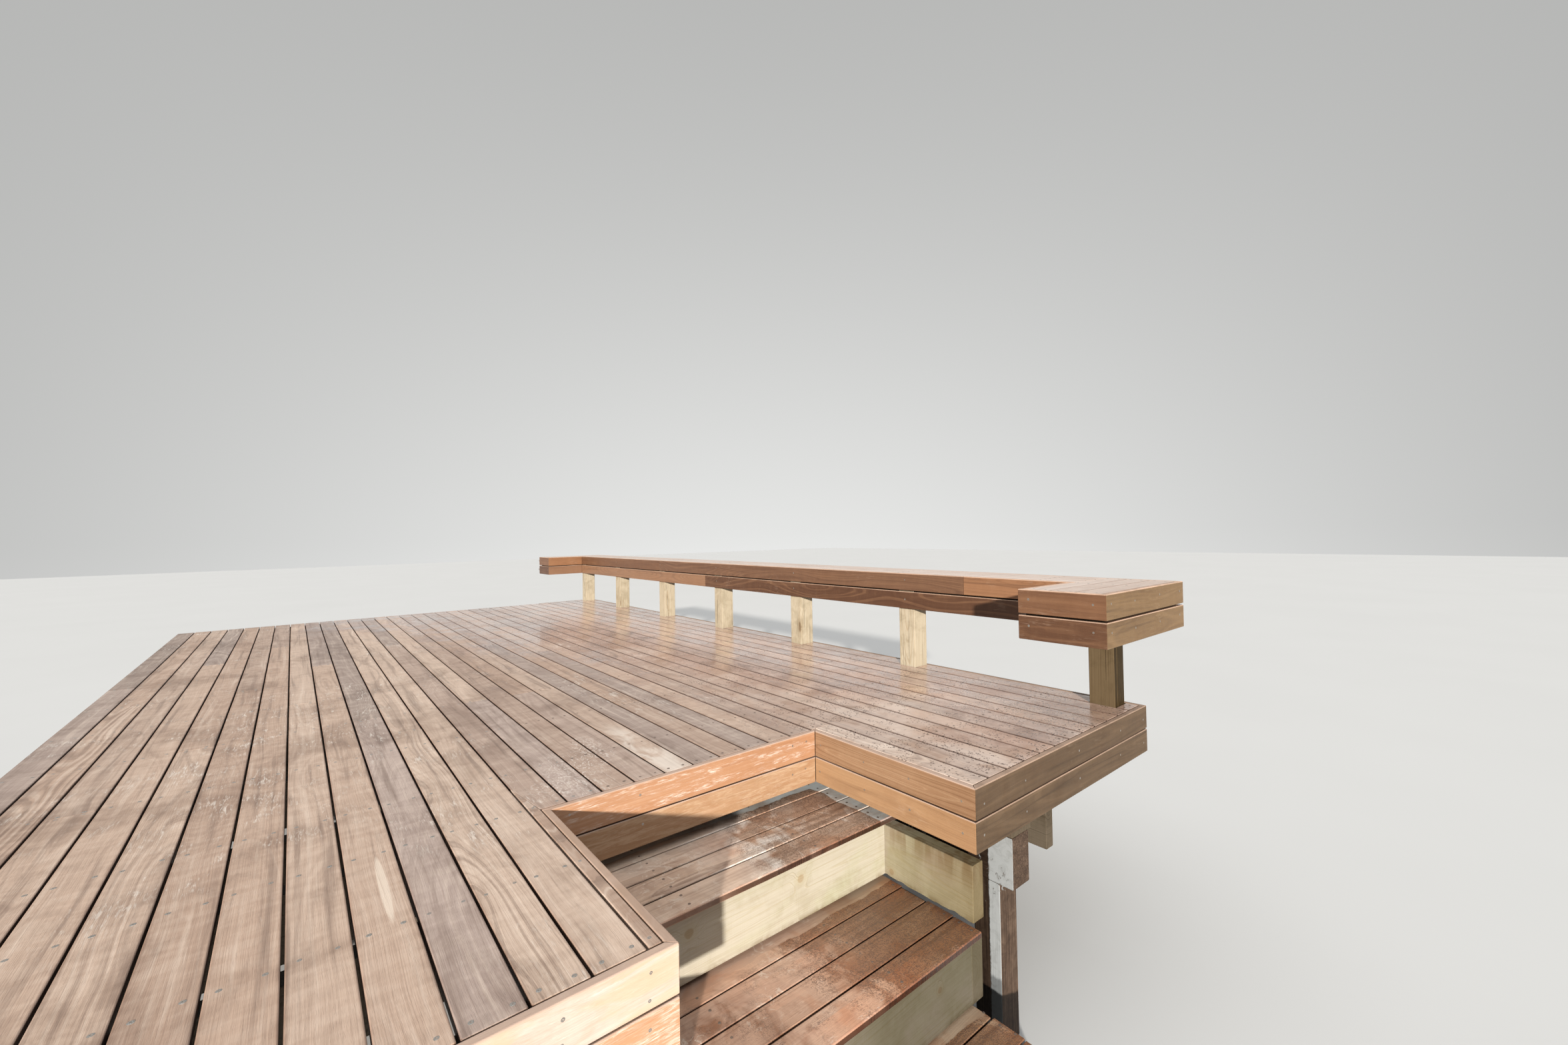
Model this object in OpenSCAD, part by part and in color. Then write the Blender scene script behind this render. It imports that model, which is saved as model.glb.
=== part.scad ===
// Raised timber deck with a flight of steps let into its near edge and a low bench as its rail.
// Millimetres. X runs across the deck, Y along the deck boards, Z up from the ground.
// The origin lies on the ground, under the middle of the whole footprint.

/* [Boards] */
// Width of a decking board
board_w = 90; // [88:1:92]
// Thickness of a decking board
board_t = 19; // [18:1:22]
// Gap between decking boards
board_gap = 4; // [3:1:5]
// Width of a fascia board
fascia_w = 86; // [85:1:88]
// Gap between two fascia boards
fascia_gap = 3; // [2:1:3]

/* [Deck] */
// Length of the deck along its boards
deck_len = 5520; // [5500:1:5540]
// Full boards left of the stair recess
boards_left = 12; // [9:1:14]
// Full boards from the recess's left side to the outer edge
boards_right = 22; // [20:1:24]

/* [Steps] */
// Height of one step, four to the deck
rise = 209; // [209:1:216]
// Distance from one nosing to the next
going = 311; // [300:1:316]
// Clear width of the stair recess
recess_w = 893; // [880:1:896]
// Clear depth of the stair recess
recess_d = 630; // [620:1:640]

/* [Bench] */
// Height of the seat over the deck
bench_h = 471; // [440:1:500]
// Height of each of the two bench side boards
bench_board = 86; // [84:1:88]
// Slot between the two bench side boards
bench_slot = 6; // [5:1:8]
// Length of the short returns at both ends
bench_return = 389; // [380:1:420]

/* [Hidden] */
pitch = board_w + board_gap;
hg = board_gap / 2;
D = 4 * rise;                       // deck surface over the ground
zj = D - board_t;                   // top of the joists
jh = 140;                           // joist height
jt = 45;                            // joist and step timber thickness
st = 50;                            // side boards of the steps
lift = 14;                          // daylight under the risers
zb = zj - jh;                       // underside of the joists
pz = zb - 50;                       // top of the old painted bearer, packed up to them
bh = 150;                           // bearer height
ps = 90;                            // square posts under the deck
bp = 97;                            // square posts of the bench
bpn = 84;                           // the near one is slimmer across
e = 0.4;                            // half of an open mitre

// board gaps: gap number 8 is the one left of the recess's narrow strip
gap8 = 452;
function G(n) = gap8 + pitch * (n - 8);
xw = G(8 - boards_left);            // left side of the deck
xo = G(8 + boards_right) + hg;      // inner face of the outer fascia
xl = gap8 + 28;                     // inner face, fascia left of the recess
xL = xl + board_t;                  // its outer face
xR = xL + recess_w;                 // outer face, fascia right of the recess
xr = xR + board_t;                  // its inner face
yB = recess_d;                      // outer face, fascia at the back of the recess
yb = yB + board_t;                  // its inner face
y0 = board_t;                       // inner face of the near fascia right of the recess
yl = -17;                           // outer face of the near fascia left of it
yi = yl + board_t;                  // its inner face
low_w = 64;                         // the ripped third board there
yE = deck_len;                      // outer face of the far fascia
ye = yE - board_t;                  // its inner face
xf = 1973;                          // the far fascia starts here

// bench
px = xo - bp - 1;                   // inner face of the bench posts
bx = px - board_t;                  // inner face of the bench
bbw = 86;                           // seat boards
bg = 2;                             // their gaps
bw = 3 * bbw + 4 * bg + 2 * board_t;
bX = bx + bw;                       // outer face of the bench
bxr = bx - bench_return;            // end face of the near return
bxf = bxr + 40;                     // end face of the far return
byn = -82;                          // near face of the near return
byf = yE + 247;                     // far face of the far return
bz = D + bench_h;                   // top of the seat
bzu = bz - bench_board;             // underside of the upper side board
bzl = bzu - bench_slot;             // top of the lower side board
bzb = bzl - bench_board;            // underside of the bench
fz = bz - board_t;                  // top of the bench frame
post_y = [65, 1018, 1893, 2774, 3645, 4540, ye - bp];

// steps, numbered from the top: nosing fronts
ny = [345, 345 - going, 345 - 2 * going];
tz = [D - rise, D - 2 * rise, D - 3 * rise];
ry = [377, 49, ny[2] + 47];         // faces of the risers
sx = [720, 1126];                   // hidden stringers
joist_y = [yb, 922, 1385, 1848, 2311, 2774, 3237, 3700, 4163, 4626, 5089];
xmid = (xw + bX) / 2;
ymid = (min(byn, ny[2]) + byf) / 2;

deck_col = [0.50, 0.37, 0.30];
edge_col = [0.66, 0.42, 0.26];
pine_col = [0.80, 0.72, 0.50];
frame_col = [0.52, 0.47, 0.36];
paint_col = [0.86, 0.87, 0.86];
seat_col = [0.60, 0.42, 0.33];

module place() translate([-xmid, -ymid, 0]) children();
// a straight timber between two corners
module bar(x0, x1, y0, y1, z0, z1) translate([x0, y0, z0]) cube([x1 - x0, y1 - y0, z1 - z0]);
// a two-board fascia over one plan outline, top edge at z
module two_boards(pts, z, h = fascia_w, slot = fascia_gap) {
    for (k = [0, 1]) translate([0, 0, z - h - k * (h + slot)]) linear_extrude(height = h) polygon(pts);
}

// ---- decking ----
// one board, cut where the recess is
module deck_board(n) {
    a = G(n) + hg;
    b = G(n + 1) - hg;
    if (b <= xl - hg + 0.01) bar(a, b, yi + hg, ye - hg, zj, D);
    else if (a >= xr + hg - 0.01) bar(a, b, y0 + hg, ye - hg, zj, D);
    else {
        bar(a, b, yb + hg, ye - hg, zj, D);
        if (a < xl - hg - 5) bar(a, xl - hg, yi + hg, yb + 1, zj, D);
        if (b > xr + hg + 5) bar(xr + hg, b, y0 + hg, yb + 1, zj, D);
    }
}
module deck_boards_left() color(deck_col) place() for (n = [8 - boards_left : 8]) deck_board(n);
module deck_boards_middle() color(deck_col) place() for (n = [9 : 17]) deck_board(n);
module deck_boards_right() color(deck_col) place() {
    for (n = [18 : 8 + boards_right - 2]) deck_board(n);
    // the outermost board is cut round the posts
    a = G(8 + boards_right - 1) + hg;
    b = G(8 + boards_right) - hg;
    bar(a, b, y0 + hg, post_y[0] - 1, zj, D);
    for (i = [0 : 5]) bar(a, b, post_y[i] + bp + 1, post_y[i + 1] - 1, zj, D);
}

// ---- fascias ----
module fascia_near_left() color(edge_col) place() {
    two_boards([[xw, yl], [xL - e, yl], [xl - e, yi], [xw, yi]], D);
    zt = D - 2 * (fascia_w + fascia_gap);
    bar(xw, xL, yl, yi, zt - low_w, zt);
}
module fascia_stair_left() color(edge_col) place()
    two_boards([[xL, yl + e], [xL, yB - e], [xl, yb - e], [xl, yi + e]], D);
module fascia_stair_back() color(edge_col) place()
    two_boards([[xL + e, yB], [xR - e, yB], [xr - e, yb], [xl + e, yb]], D);
module fascia_stair_right() color(edge_col) place()
    two_boards([[xR, e], [xR, yB - e], [xr, yb - e], [xr, y0 + e]], D);
module fascia_near_right() color(edge_col) place()
    two_boards([[xR + e, 0], [xo + board_t - e, 0], [xo - e, y0], [xr + e, y0]], D);
module fascia_outer() color(edge_col) place()
    two_boards([[xo + board_t, e], [xo + board_t, yE - e], [xo, ye - e], [xo, y0 + e]], D);
module fascia_far() color(edge_col) place()
    two_boards([[xf, yE], [xo + board_t - e, yE], [xo - e, ye], [xf, ye]], D);

// ---- subfloor ----
module ledgers() color(frame_col) place() {
    bar(xw, xw + jt, yi, ye, zb, zj);
    bar(xw + jt + 1, xf, ye - jt, ye, zb, zj);
}
module joists_long() color(frame_col) place() {
    for (y = joist_y) bar(xw + jt, px - jt, y, y + jt, zb, zj);
    bar(xf, px - jt, ye - jt, ye, zb, zj);
}
module joists_short() color(frame_col) place() {
    for (y = [yi, 330]) bar(xw + jt, xl - jt, y, y + jt, zb, zj);
    for (y = [y0, 330]) bar(xr + jt, px - jt, y, y + jt, zb, zj);
}
module trimmers() color(frame_col) place() {
    bar(xl - jt, xl, yi, yb, zb, zj);
    bar(xr, xr + jt, y0, yb, zb, zj);
}
module rim_joist_outer() color(frame_col) place() bar(px - jt, px, y0, ye, zb, zj);
module fascia_packers() color(frame_col) place() {
    bar(px, xo, y0, y0 + 35, zb, zj);
    for (y = [330, 922, 1385, 1840, 2311, 2715, 3237, 3585, 4163, 4480, 5089]) bar(px, xo, y, y + jt, zb, zj);
}
// short uprights behind the ripped third board of the near edge
module fascia_cleats() color(frame_col) place()
    for (x = [-620, -120, 380]) bar(x, x + jt, yi, yi + jt, D - 2 * (fascia_w + fascia_gap) - low_w, zb);
// uprights fixed to the trimmers, standing on the ends of the top tread
module step_hangers() color(frame_col) place()
    for (x = [xl - 2 * jt, xr + jt]) bar(x, x + jt, 376, 648, tz[0], zj);
module bearer_left() color(frame_col) place() bar(-345, -255, 66, ye - 20, zb - bh, zb);
module bearer_middle() color(frame_col) place() bar(250, 340, 66, ye - 20, zb - bh, zb);
module bearer_painted() color(paint_col) place() bar(1603, 1693, 22, ye - 20, pz - bh, pz);
module bearer_plate() color(frame_col) place() bar(1603, 1708, 22, ye - 20, pz, zb);
module bearer_outer() color(frame_col) place() bar(1965, 2010, 110, ye - 20, zb - 240, zb);
module ground_posts() color(frame_col) place()
    for (x = [-345, 250], y = [80, 1400, 2700, 4000, 5290]) bar(x, x + ps, y, y + ps, 0, zb - bh);
module painted_posts() color(paint_col) place()
    for (y = [64, 1400, 2700, 4000, 5290]) bar(1603, 1603 + ps, y, y + ps, 0, pz - bh);
module outer_posts() color(frame_col) place()
    for (y = [1400, 2700, 4000, 5290]) bar(2010, 2010 + ps, y, y + ps, 0, zb - 5);

// ---- steps ----
// four boards; the last one runs under the next riser, and a spare one carries the back of the next step
module tread_boards(x0, x1, y, z, spare = true) {
    for (k = [0 : 3]) bar(x0, x1, y + k * pitch, y + k * pitch + board_w, z - board_t, z);
    if (spare) bar(x0, x1, yB + 1, yB + 1 + board_w, z - board_t, z);
}
module treads_upper() color(deck_col) place() tread_boards(xL - 118, xR + 118, ny[0], tz[0], false);
module treads_middle() color(deck_col) place() tread_boards(xL - 72, xR + 72, ny[1], tz[1]);
module treads_lower() color(deck_col) place() tread_boards(xL - 66, xR + 66, ny[2], tz[2]);
module riser_upper() color(pine_col) place() bar(xL, xR + 64, ry[0], ry[0] + jt, tz[1] + lift, tz[0] - board_t);
module riser_middle() color(pine_col) place() bar(xL - 48, xR + 41, ry[1], ry[1] + jt, tz[2] + lift, tz[1] - board_t);
module riser_lower() color(pine_col) place() bar(xL - 13, xR + 13, ry[2], ry[2] + jt, 0, tz[2] - board_t);
module sides_upper() color(pine_col) place() {
    bar(xL - st, xL, 43, 720, tz[1], tz[1] + 113);
    bar(xR + 64, xR + 64 + st, 57, 720, tz[1] + lift, tz[1] + lift + 155);
}
module sides_middle() color(pine_col) place() {
    bar(xL - 48 - st, xL - 48, ry[1], 720, tz[2], tz[1] - board_t);
    bar(xR + 41, xR + 41 + st, ry[1], 720, tz[2] + lift, tz[1] - board_t);
}
module sides_lower() color(pine_col) place() {
    bar(xL - 58, xL - 13, ry[2], 720, 0, tz[2] - board_t);
    bar(xR + 13, xR + 58, ry[2], 720, 0, tz[2] - board_t);
}
// two carriers between the riser and a back board that spans between the sides
module stringers(y, z0, z1, x0, x1) {
    for (x = sx) bar(x, x + jt, y, 674, z0, z1);
    bar(x0, x1, 675, 720, z0, z1);
}
module stringers_upper() color(frame_col) place() stringers(ry[0] + jt, tz[1], tz[0] - board_t, xL, xR + 64);
module stringers_middle() color(frame_col) place() stringers(ry[1] + jt, tz[2], tz[1] - board_t, xL - 48, xR + 41);
module stringers_lower() color(frame_col) place() stringers(ry[2] + jt, 0, tz[2] - board_t, xL - 13, xR + 13);

// ---- bench rail ----
module bench_posts() color(pine_col) place() {
    bar(px, px + bpn, post_y[0], post_y[0] + bp, zb, fz);
    for (i = [1 : 6]) bar(px, px + bp, post_y[i], post_y[i] + bp, zb, fz);
}
module bench_arms() color(frame_col) place() for (i = [0 : 6]) bar(px + jt + 1, bX - board_t - jt, post_y[i] + bp, post_y[i] + bp + jt, fz - 90, fz);
module bench_rails() color(frame_col) place() {
    bar(bX - board_t - jt, bX - board_t, byn + board_t, byf - board_t, fz - 90, fz);
    bar(px, px + jt, byn + board_t, post_y[0], fz - 90, fz);
    for (i = [0 : 5]) bar(px, px + jt, post_y[i] + bp, post_y[i + 1], fz - 90, fz);
    bar(px, px + jt, post_y[6] + bp, byf - board_t, fz - 90, fz);
}
module bench_return_frames() color(frame_col) place() for (s = [0, 1]) {
    a = s == 0 ? byn + board_t : byf - board_t - bw + 2 * board_t;
    b = a + bw - 2 * board_t;
    x = (s == 0 ? bxr : bxf) + board_t;
    bar(x, px - 1, a, a + jt, fz - 90, fz);
    bar(x, px - 1, b - jt, b, fz - 90, fz);
    bar(x, x + jt, a + jt + 1, b - jt - 1, fz - 90, fz);
}
module bench_seat_long() color(seat_col) place() for (k = [0 : 2])
    bar(bx + board_t + bg + k * (bbw + bg), bx + board_t + bg + k * (bbw + bg) + bbw,
        byn + bw - board_t, byf - bw + board_t, fz, bz);
module bench_seat_returns() color(seat_col) place() for (s = [0, 1], k = [0 : 2]) {
    a = (s == 0 ? byn : byf - bw) + board_t + bg + k * (bbw + bg);
    bar((s == 0 ? bxr : bxf) + board_t + bg, bX - board_t - bg, a, a + bbw, fz, bz);
}
module bench_fascia_inner() color(seat_col) place()
    two_boards([[bx, byn + bw + e], [bx, byf - bw - e], [px, byf - bw + board_t - e], [px, byn + bw - board_t + e]], bz, bench_board, bench_slot);
module bench_fascia_outer() color(seat_col) place()
    two_boards([[bX, byn + e], [bX, byf - e], [bX - board_t, byf - board_t - e], [bX - board_t, byn + board_t + e]], bz, bench_board, bench_slot);
module bench_end(s) {
    // s = 1 for the near return, -1 for the far one, drawn as its mirror image
    y1 = s > 0 ? byn : byf;
    x1 = s > 0 ? bxr : bxf;
    two_boards([[x1 + e, y1], [bX - e, y1], [bX - board_t - e, y1 + s * board_t], [x1 + board_t + e, y1 + s * board_t]], bz, bench_board, bench_slot);
    two_boards([[x1, y1 + s * e], [x1 + board_t, y1 + s * (board_t + e)], [x1 + board_t, y1 + s * (bw - board_t - e)], [x1, y1 + s * (bw - e)]], bz, bench_board, bench_slot);
    two_boards([[x1 + e, y1 + s * bw], [x1 + board_t + e, y1 + s * (bw - board_t)], [px - e, y1 + s * (bw - board_t)], [bx - e, y1 + s * bw]], bz, bench_board, bench_slot);
}
module bench_fascia_near() color(seat_col) place() bench_end(1);
module bench_fascia_far() color(seat_col) place() bench_end(-1);

deck_boards_left();
deck_boards_middle();
deck_boards_right();
fascia_near_left();
fascia_stair_left();
fascia_stair_back();
fascia_stair_right();
fascia_near_right();
fascia_outer();
fascia_far();
ledgers();
joists_long();
joists_short();
trimmers();
rim_joist_outer();
fascia_packers();
fascia_cleats();
step_hangers();
bearer_left();
bearer_middle();
bearer_painted();
bearer_plate();
bearer_outer();
ground_posts();
painted_posts();
outer_posts();
treads_upper();
treads_middle();
treads_lower();
riser_upper();
riser_middle();
riser_lower();
sides_upper();
sides_middle();
sides_lower();
stringers_upper();
stringers_middle();
stringers_lower();
bench_posts();
bench_arms();
bench_rails();
bench_return_frames();
bench_seat_long();
bench_seat_returns();
bench_fascia_inner();
bench_fascia_outer();
bench_fascia_near();
bench_fascia_far();
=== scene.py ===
import bpy, math, random
import numpy as np
from mathutils import Matrix, Vector


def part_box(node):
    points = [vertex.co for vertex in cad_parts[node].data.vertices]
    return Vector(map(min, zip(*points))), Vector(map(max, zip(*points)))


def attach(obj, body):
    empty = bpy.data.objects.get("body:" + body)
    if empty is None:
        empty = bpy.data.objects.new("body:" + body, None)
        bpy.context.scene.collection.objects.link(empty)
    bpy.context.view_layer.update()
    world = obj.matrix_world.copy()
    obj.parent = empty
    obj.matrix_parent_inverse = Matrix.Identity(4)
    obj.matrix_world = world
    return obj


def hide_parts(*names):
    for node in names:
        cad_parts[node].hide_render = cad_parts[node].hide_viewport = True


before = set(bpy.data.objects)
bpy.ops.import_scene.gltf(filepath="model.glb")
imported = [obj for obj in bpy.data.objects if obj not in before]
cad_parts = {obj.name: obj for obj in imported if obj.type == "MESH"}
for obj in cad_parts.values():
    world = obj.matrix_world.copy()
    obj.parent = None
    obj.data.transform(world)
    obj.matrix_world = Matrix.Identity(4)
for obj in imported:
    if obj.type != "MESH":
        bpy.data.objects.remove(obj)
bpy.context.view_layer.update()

# ---------------------------------------------------------------- frame
# Deck coordinates: millimetres, X across from the stair side, Y back along the boards
# from the near edge, Z up from the ground. The shift to the CAD frame comes from a bearer.
_lo, _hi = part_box("bearer_painted")
OX, OY = 1.603 - _lo[0], 0.022 - _lo[1]
D = 836.0                     # deck surface
T, W, GAP, PITCH = 19.0, 90.0, 4.0, 94.0
ZJ = D - T                    # joist tops
ZB = ZJ - 140.0               # underside of the joists
PZ = ZB - 50.0                # top of the old painted bearer
XL, XR, YB = 499.0, 1392.0, 630.0
XLI, XRI, YBI = XL - T, XR + T, YB + T
XW, XO = -676.0, 2522.0
XF = 1973.0
YE = 5520.0
YEI = YE - T
PX = XO - 98.0
BP = 97.0                     # bench posts; the near one is slimmer across
BX = PX - T
SW, SG = 86.0, 2.0            # seat boards and their gaps
BW = 3 * SW + 4 * SG + 2 * T
BXO = BX + BW
BXR = BX - 389.0              # end faces of the near and far returns
BXF = BXR + 40.0
BYN, BYF = -82.0, YE + 247.0
BZ = D + 471.0
FZ = BZ - T
POST_Y = [65, 1018, 1893, 2774, 3645, 4540, 5404]
NY = [345.0, 34.0, -277.0]
TZ = [627.0, 418.0, 209.0]
RY = [377.0, 49.0, -230.0]
LIFT = 14.0                   # daylight under the risers
YL = -17.0                    # outer face of the near fascia left of the steps
YLI = YL + T
FW, FS = 86.0, 3.0            # fascia boards and their slot
SX = [720.0, 1126.0]
JOIST_Y = [YBI, 922, 1385, 1848, 2311, 2774, 3237, 3700, 4163, 4626, 5089]


def G(n):
    return 452.0 + PITCH * (n - 8)


# ---------------------------------------------------------------- mesh code
class Acc:
    """Collects boards into one mesh, with board coordinates for the wood textures."""

    def __init__(self):
        self.v, self.f, self.bc, self.bs, self.ax, self.mi = [], [], [], [], [], []

    def add(self, verts, faces, bc, seed, axis, mi=0):
        k = len(self.v)
        self.v += verts
        self.f += [tuple(i + k for i in f) for f in faces]
        self.mi += [mi] * len(faces)
        self.bc += bc
        self.bs += [seed] * len(verts)
        self.ax += [axis] * len(verts)

    def piece(self, name, mats, slot, nodes=()):
        me = bpy.data.meshes.new(name)
        me.from_pydata(self.v, [], self.f)
        me.update()
        n = len(self.v)
        for nm, typ, data, key in (
            ("bc", "FLOAT_VECTOR", self.bc, "vector"),
            ("ax", "FLOAT_VECTOR", self.ax, "vector"),
            ("bs", "FLOAT_COLOR", self.bs, "color"),
        ):
            a = me.attributes.new(nm, typ, "POINT")
            a.data.foreach_set(key, np.asarray(data, dtype=np.float32).ravel())
        for m in mats:
            me.materials.append(m)
        me.polygons.foreach_set("material_index", self.mi)
        ob = bpy.data.objects.new(name, me)
        bpy.context.scene.collection.objects.link(ob)
        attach(ob, "root")
        if nodes:
            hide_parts(*nodes)
        return ob


def cad(x, y, z):
    return (x / 1000.0 - OX, y / 1000.0 - OY, z / 1000.0)


def seeds(rng):
    return (rng.random(), rng.random(), rng.random(), rng.random())


def timber(acc, box, ax, face, rng, r=2.5, er=1.2, seg=150.0, wob=0.5, cup=0.0, cut0=None, cut1=None,
           mi=0, tone=None, chips=None, nr=3, sag=0.0, shrink=0.15, trim=None):
    """One sawn board inside box = (x0, x1, y0, y1, z0, z1), in mm.
    ax is the length axis, face the axis through the thickness. cut0 and cut1 give the end's
    place at the low and high side of the thickness, for mitres."""
    lo, hi = [box[0], box[2], box[4]], [box[1], box[3], box[5]]
    U, Wx = "xyz".index(ax), "xyz".index(face)
    V = 3 - U - Wx
    u0, u1, v0, v1, w0, w1 = lo[U], hi[U], lo[V], hi[V], lo[Wx], hi[Wx]
    v0 += shrink; v1 -= shrink; w0 += shrink; w1 -= shrink
    c0, c1 = cut0 or (u0, u0), cut1 or (u1, u1)
    vm, wm, hv, hw = (v0 + v1) / 2, (w0 + w1) / 2, (v1 - v0) / 2, (w1 - w0) / 2
    r = min(r, hw * 0.8, hv * 0.8)
    # profile, counter-clockwise in (v, w)
    prof = []
    nm = 4 if hv > 25 else 2
    nw = 2 if hw < 30 else 3
    for sv, sw, a0 in ((1, 1, 0.0), (-1, 1, 90.0), (-1, -1, 180.0), (1, -1, 270.0)):
        for k in range(nr + 1):
            a = math.radians(a0 + 90.0 * k / nr)
            prof.append((sv * (hv - r) + r * math.cos(a), sw * (hw - r) + r * math.sin(a)))
        if sv == sw:  # along the top or the bottom
            for k in range(1, nm):
                prof.append((sv * (hv - r) * (1 - 2.0 * k / nm), sw * hw))
        else:
            for k in range(1, nw):
                prof.append((sv * hv, sw * (hw - r) * (1 - 2.0 * k / nw)))
    n = len(prof)
    L = max(c1) - min(c0)
    m = max(2, int(round(L / seg)))
    ph = [rng.uniform(0, 6.28) for _ in range(12)]
    sd = seeds(rng)
    if isinstance(tone, tuple):
        sd = (tone[0], sd[1], sd[2], tone[1])
    elif tone is not None:
        sd = (tone, sd[1], sd[2], sd[3])
    off = rng.uniform(0, 60.0)

    def wave(u, i, a):
        return a * 0.5 * (math.sin(u / 310.0 + ph[i]) + math.sin(u / 131.0 + ph[i + 1]))

    stations = [(0.0, er, 0), (0.0, 0.0, 1)] + [(k / m, 0.0, 1) for k in range(1, m)] + [(1.0, 0.0, 1), (1.0, er, 2)]
    verts, bc = [], []
    for s, inset, kind in stations:
        for (pv, pw) in prof:
            t = (pw + hw) / (2 * hw)
            a, b = c0[0] + (c0[1] - c0[0]) * t, c1[0] + (c1[1] - c1[0]) * t
            if s == 0.0:
                u = a + (0.0 if kind == 0 else er)
            elif s == 1.0:
                u = b - (0.0 if kind == 2 else er)
            else:
                u = a + (b - a) * s
            kv = (hv - (er * 0.8 if kind != 1 else 0.0)) / hv
            kw = (hw - (er * 0.8 if kind != 1 else 0.0)) / hw
            qv, qw = pv * kv, pw * kw
            side = 1 if pv > 0 else -1
            qv -= side * abs(wave(u, 0 if side > 0 else 2, wob)) * min(1.0, abs(pv) / hv)
            qw += -abs(wave(u, 4, wob * 0.6)) * (1 if pw > 0 else -1)
            qw -= cup * (1 - (pv / hv) ** 2) * (1 if pw > 0 else 0)
            qw -= sag * math.sin(math.pi * min(max(s, 0), 1))
            vv, ww = vm + qv, wm + qw
            if chips and chips(u, pv / hv, pw / hw):
                vv += chips(u, pv / hv, pw / hw)
            if trim:
                u, vv, ww = trim(u, vv, ww)
            c = [0, 0, 0]
            c[U], c[V], c[Wx] = u, vv, ww
            verts.append(cad(*c))
            bc.append((u / 1000.0 + off, (vv - vm) / 1000.0, (ww - wm) / 1000.0))
    faces = []
    rows = len(stations)
    flip = ((U, V, Wx) in ((0, 1, 2), (1, 2, 0), (2, 0, 1)))
    for k in range(rows - 1):
        for i in range(n):
            j = (i + 1) % n
            q = (k * n + i, k * n + j, (k + 1) * n + j, (k + 1) * n + i)
            faces.append(q[::-1] if flip else q)
    e0 = tuple(range(n)); e1 = tuple((rows - 1) * n + i for i in range(n))
    faces.append(e0 if flip else e0[::-1])
    faces.append(e1[::-1] if flip else e1)
    axis = [0.0, 0.0, 0.0]; axis[U] = 1.0
    acc.add(verts, faces, bc, sd, tuple(axis), mi)
    return sd


def screw(acc, p, nrm, rng, rad=3.6, proud=0.25, mi=0):
    """A countersunk head with a square recess, lying on the face at p, mm."""
    n = Vector(nrm)
    t1 = Vector((1, 0, 0)) if abs(n.x) < 0.5 else Vector((0, 1, 0))
    t2 = n.cross(t1)
    a0 = rng.uniform(0, 6.28)
    N = 10
    rings = [(rad * 1.35, -0.4), (rad * 1.18, 0.04), (rad, 0.06), (rad, proud), (rad * 0.88, proud + 0.1)]
    V, F = [], []
    P = Vector(p)
    for rr, h in rings:
        for k in range(N):
            a = a0 + 6.283185 * k / N
            q = P + t1 * (rr * math.cos(a)) + t2 * (rr * math.sin(a)) + n * h
            V.append(cad(*q))
    for k in range(len(rings) - 1):
        for i in range(N):
            j = (i + 1) % N
            F.append((k * N + i, k * N + j, (k + 1) * N + j, (k + 1) * N + i))
    b = len(V)
    for rr, h in ((rad * 0.42, proud + 0.1), (rad * 0.36, proud - 1.0)):
        for k in range(4):
            a = a0 + 6.283185 * k / 4
            q = P + t1 * (rr * math.cos(a)) + t2 * (rr * math.sin(a)) + n * h
            V.append(cad(*q))
    top = (len(rings) - 1) * N
    # ring of faces from the head's rim to the recess
    idx = [int(round(i * 4 / N)) % 4 for i in range(N)]
    for i in range(N):
        j = (i + 1) % N
        a, c = b + idx[i], b + idx[j]
        F.append((top + i, top + j, c) if a == c else (top + i, top + j, c, a))
    for k in range(4):
        j = (k + 1) % 4
        F.append((b + k, b + j, b + 4 + j, b + 4 + k))
    F.append((b + 4, b + 5, b + 6, b + 7))
    acc.add(V, F, [(0.0, 0.0, 0.0)] * len(V), seeds(rng), (0.0, 0.0, 1.0), mi)


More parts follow.
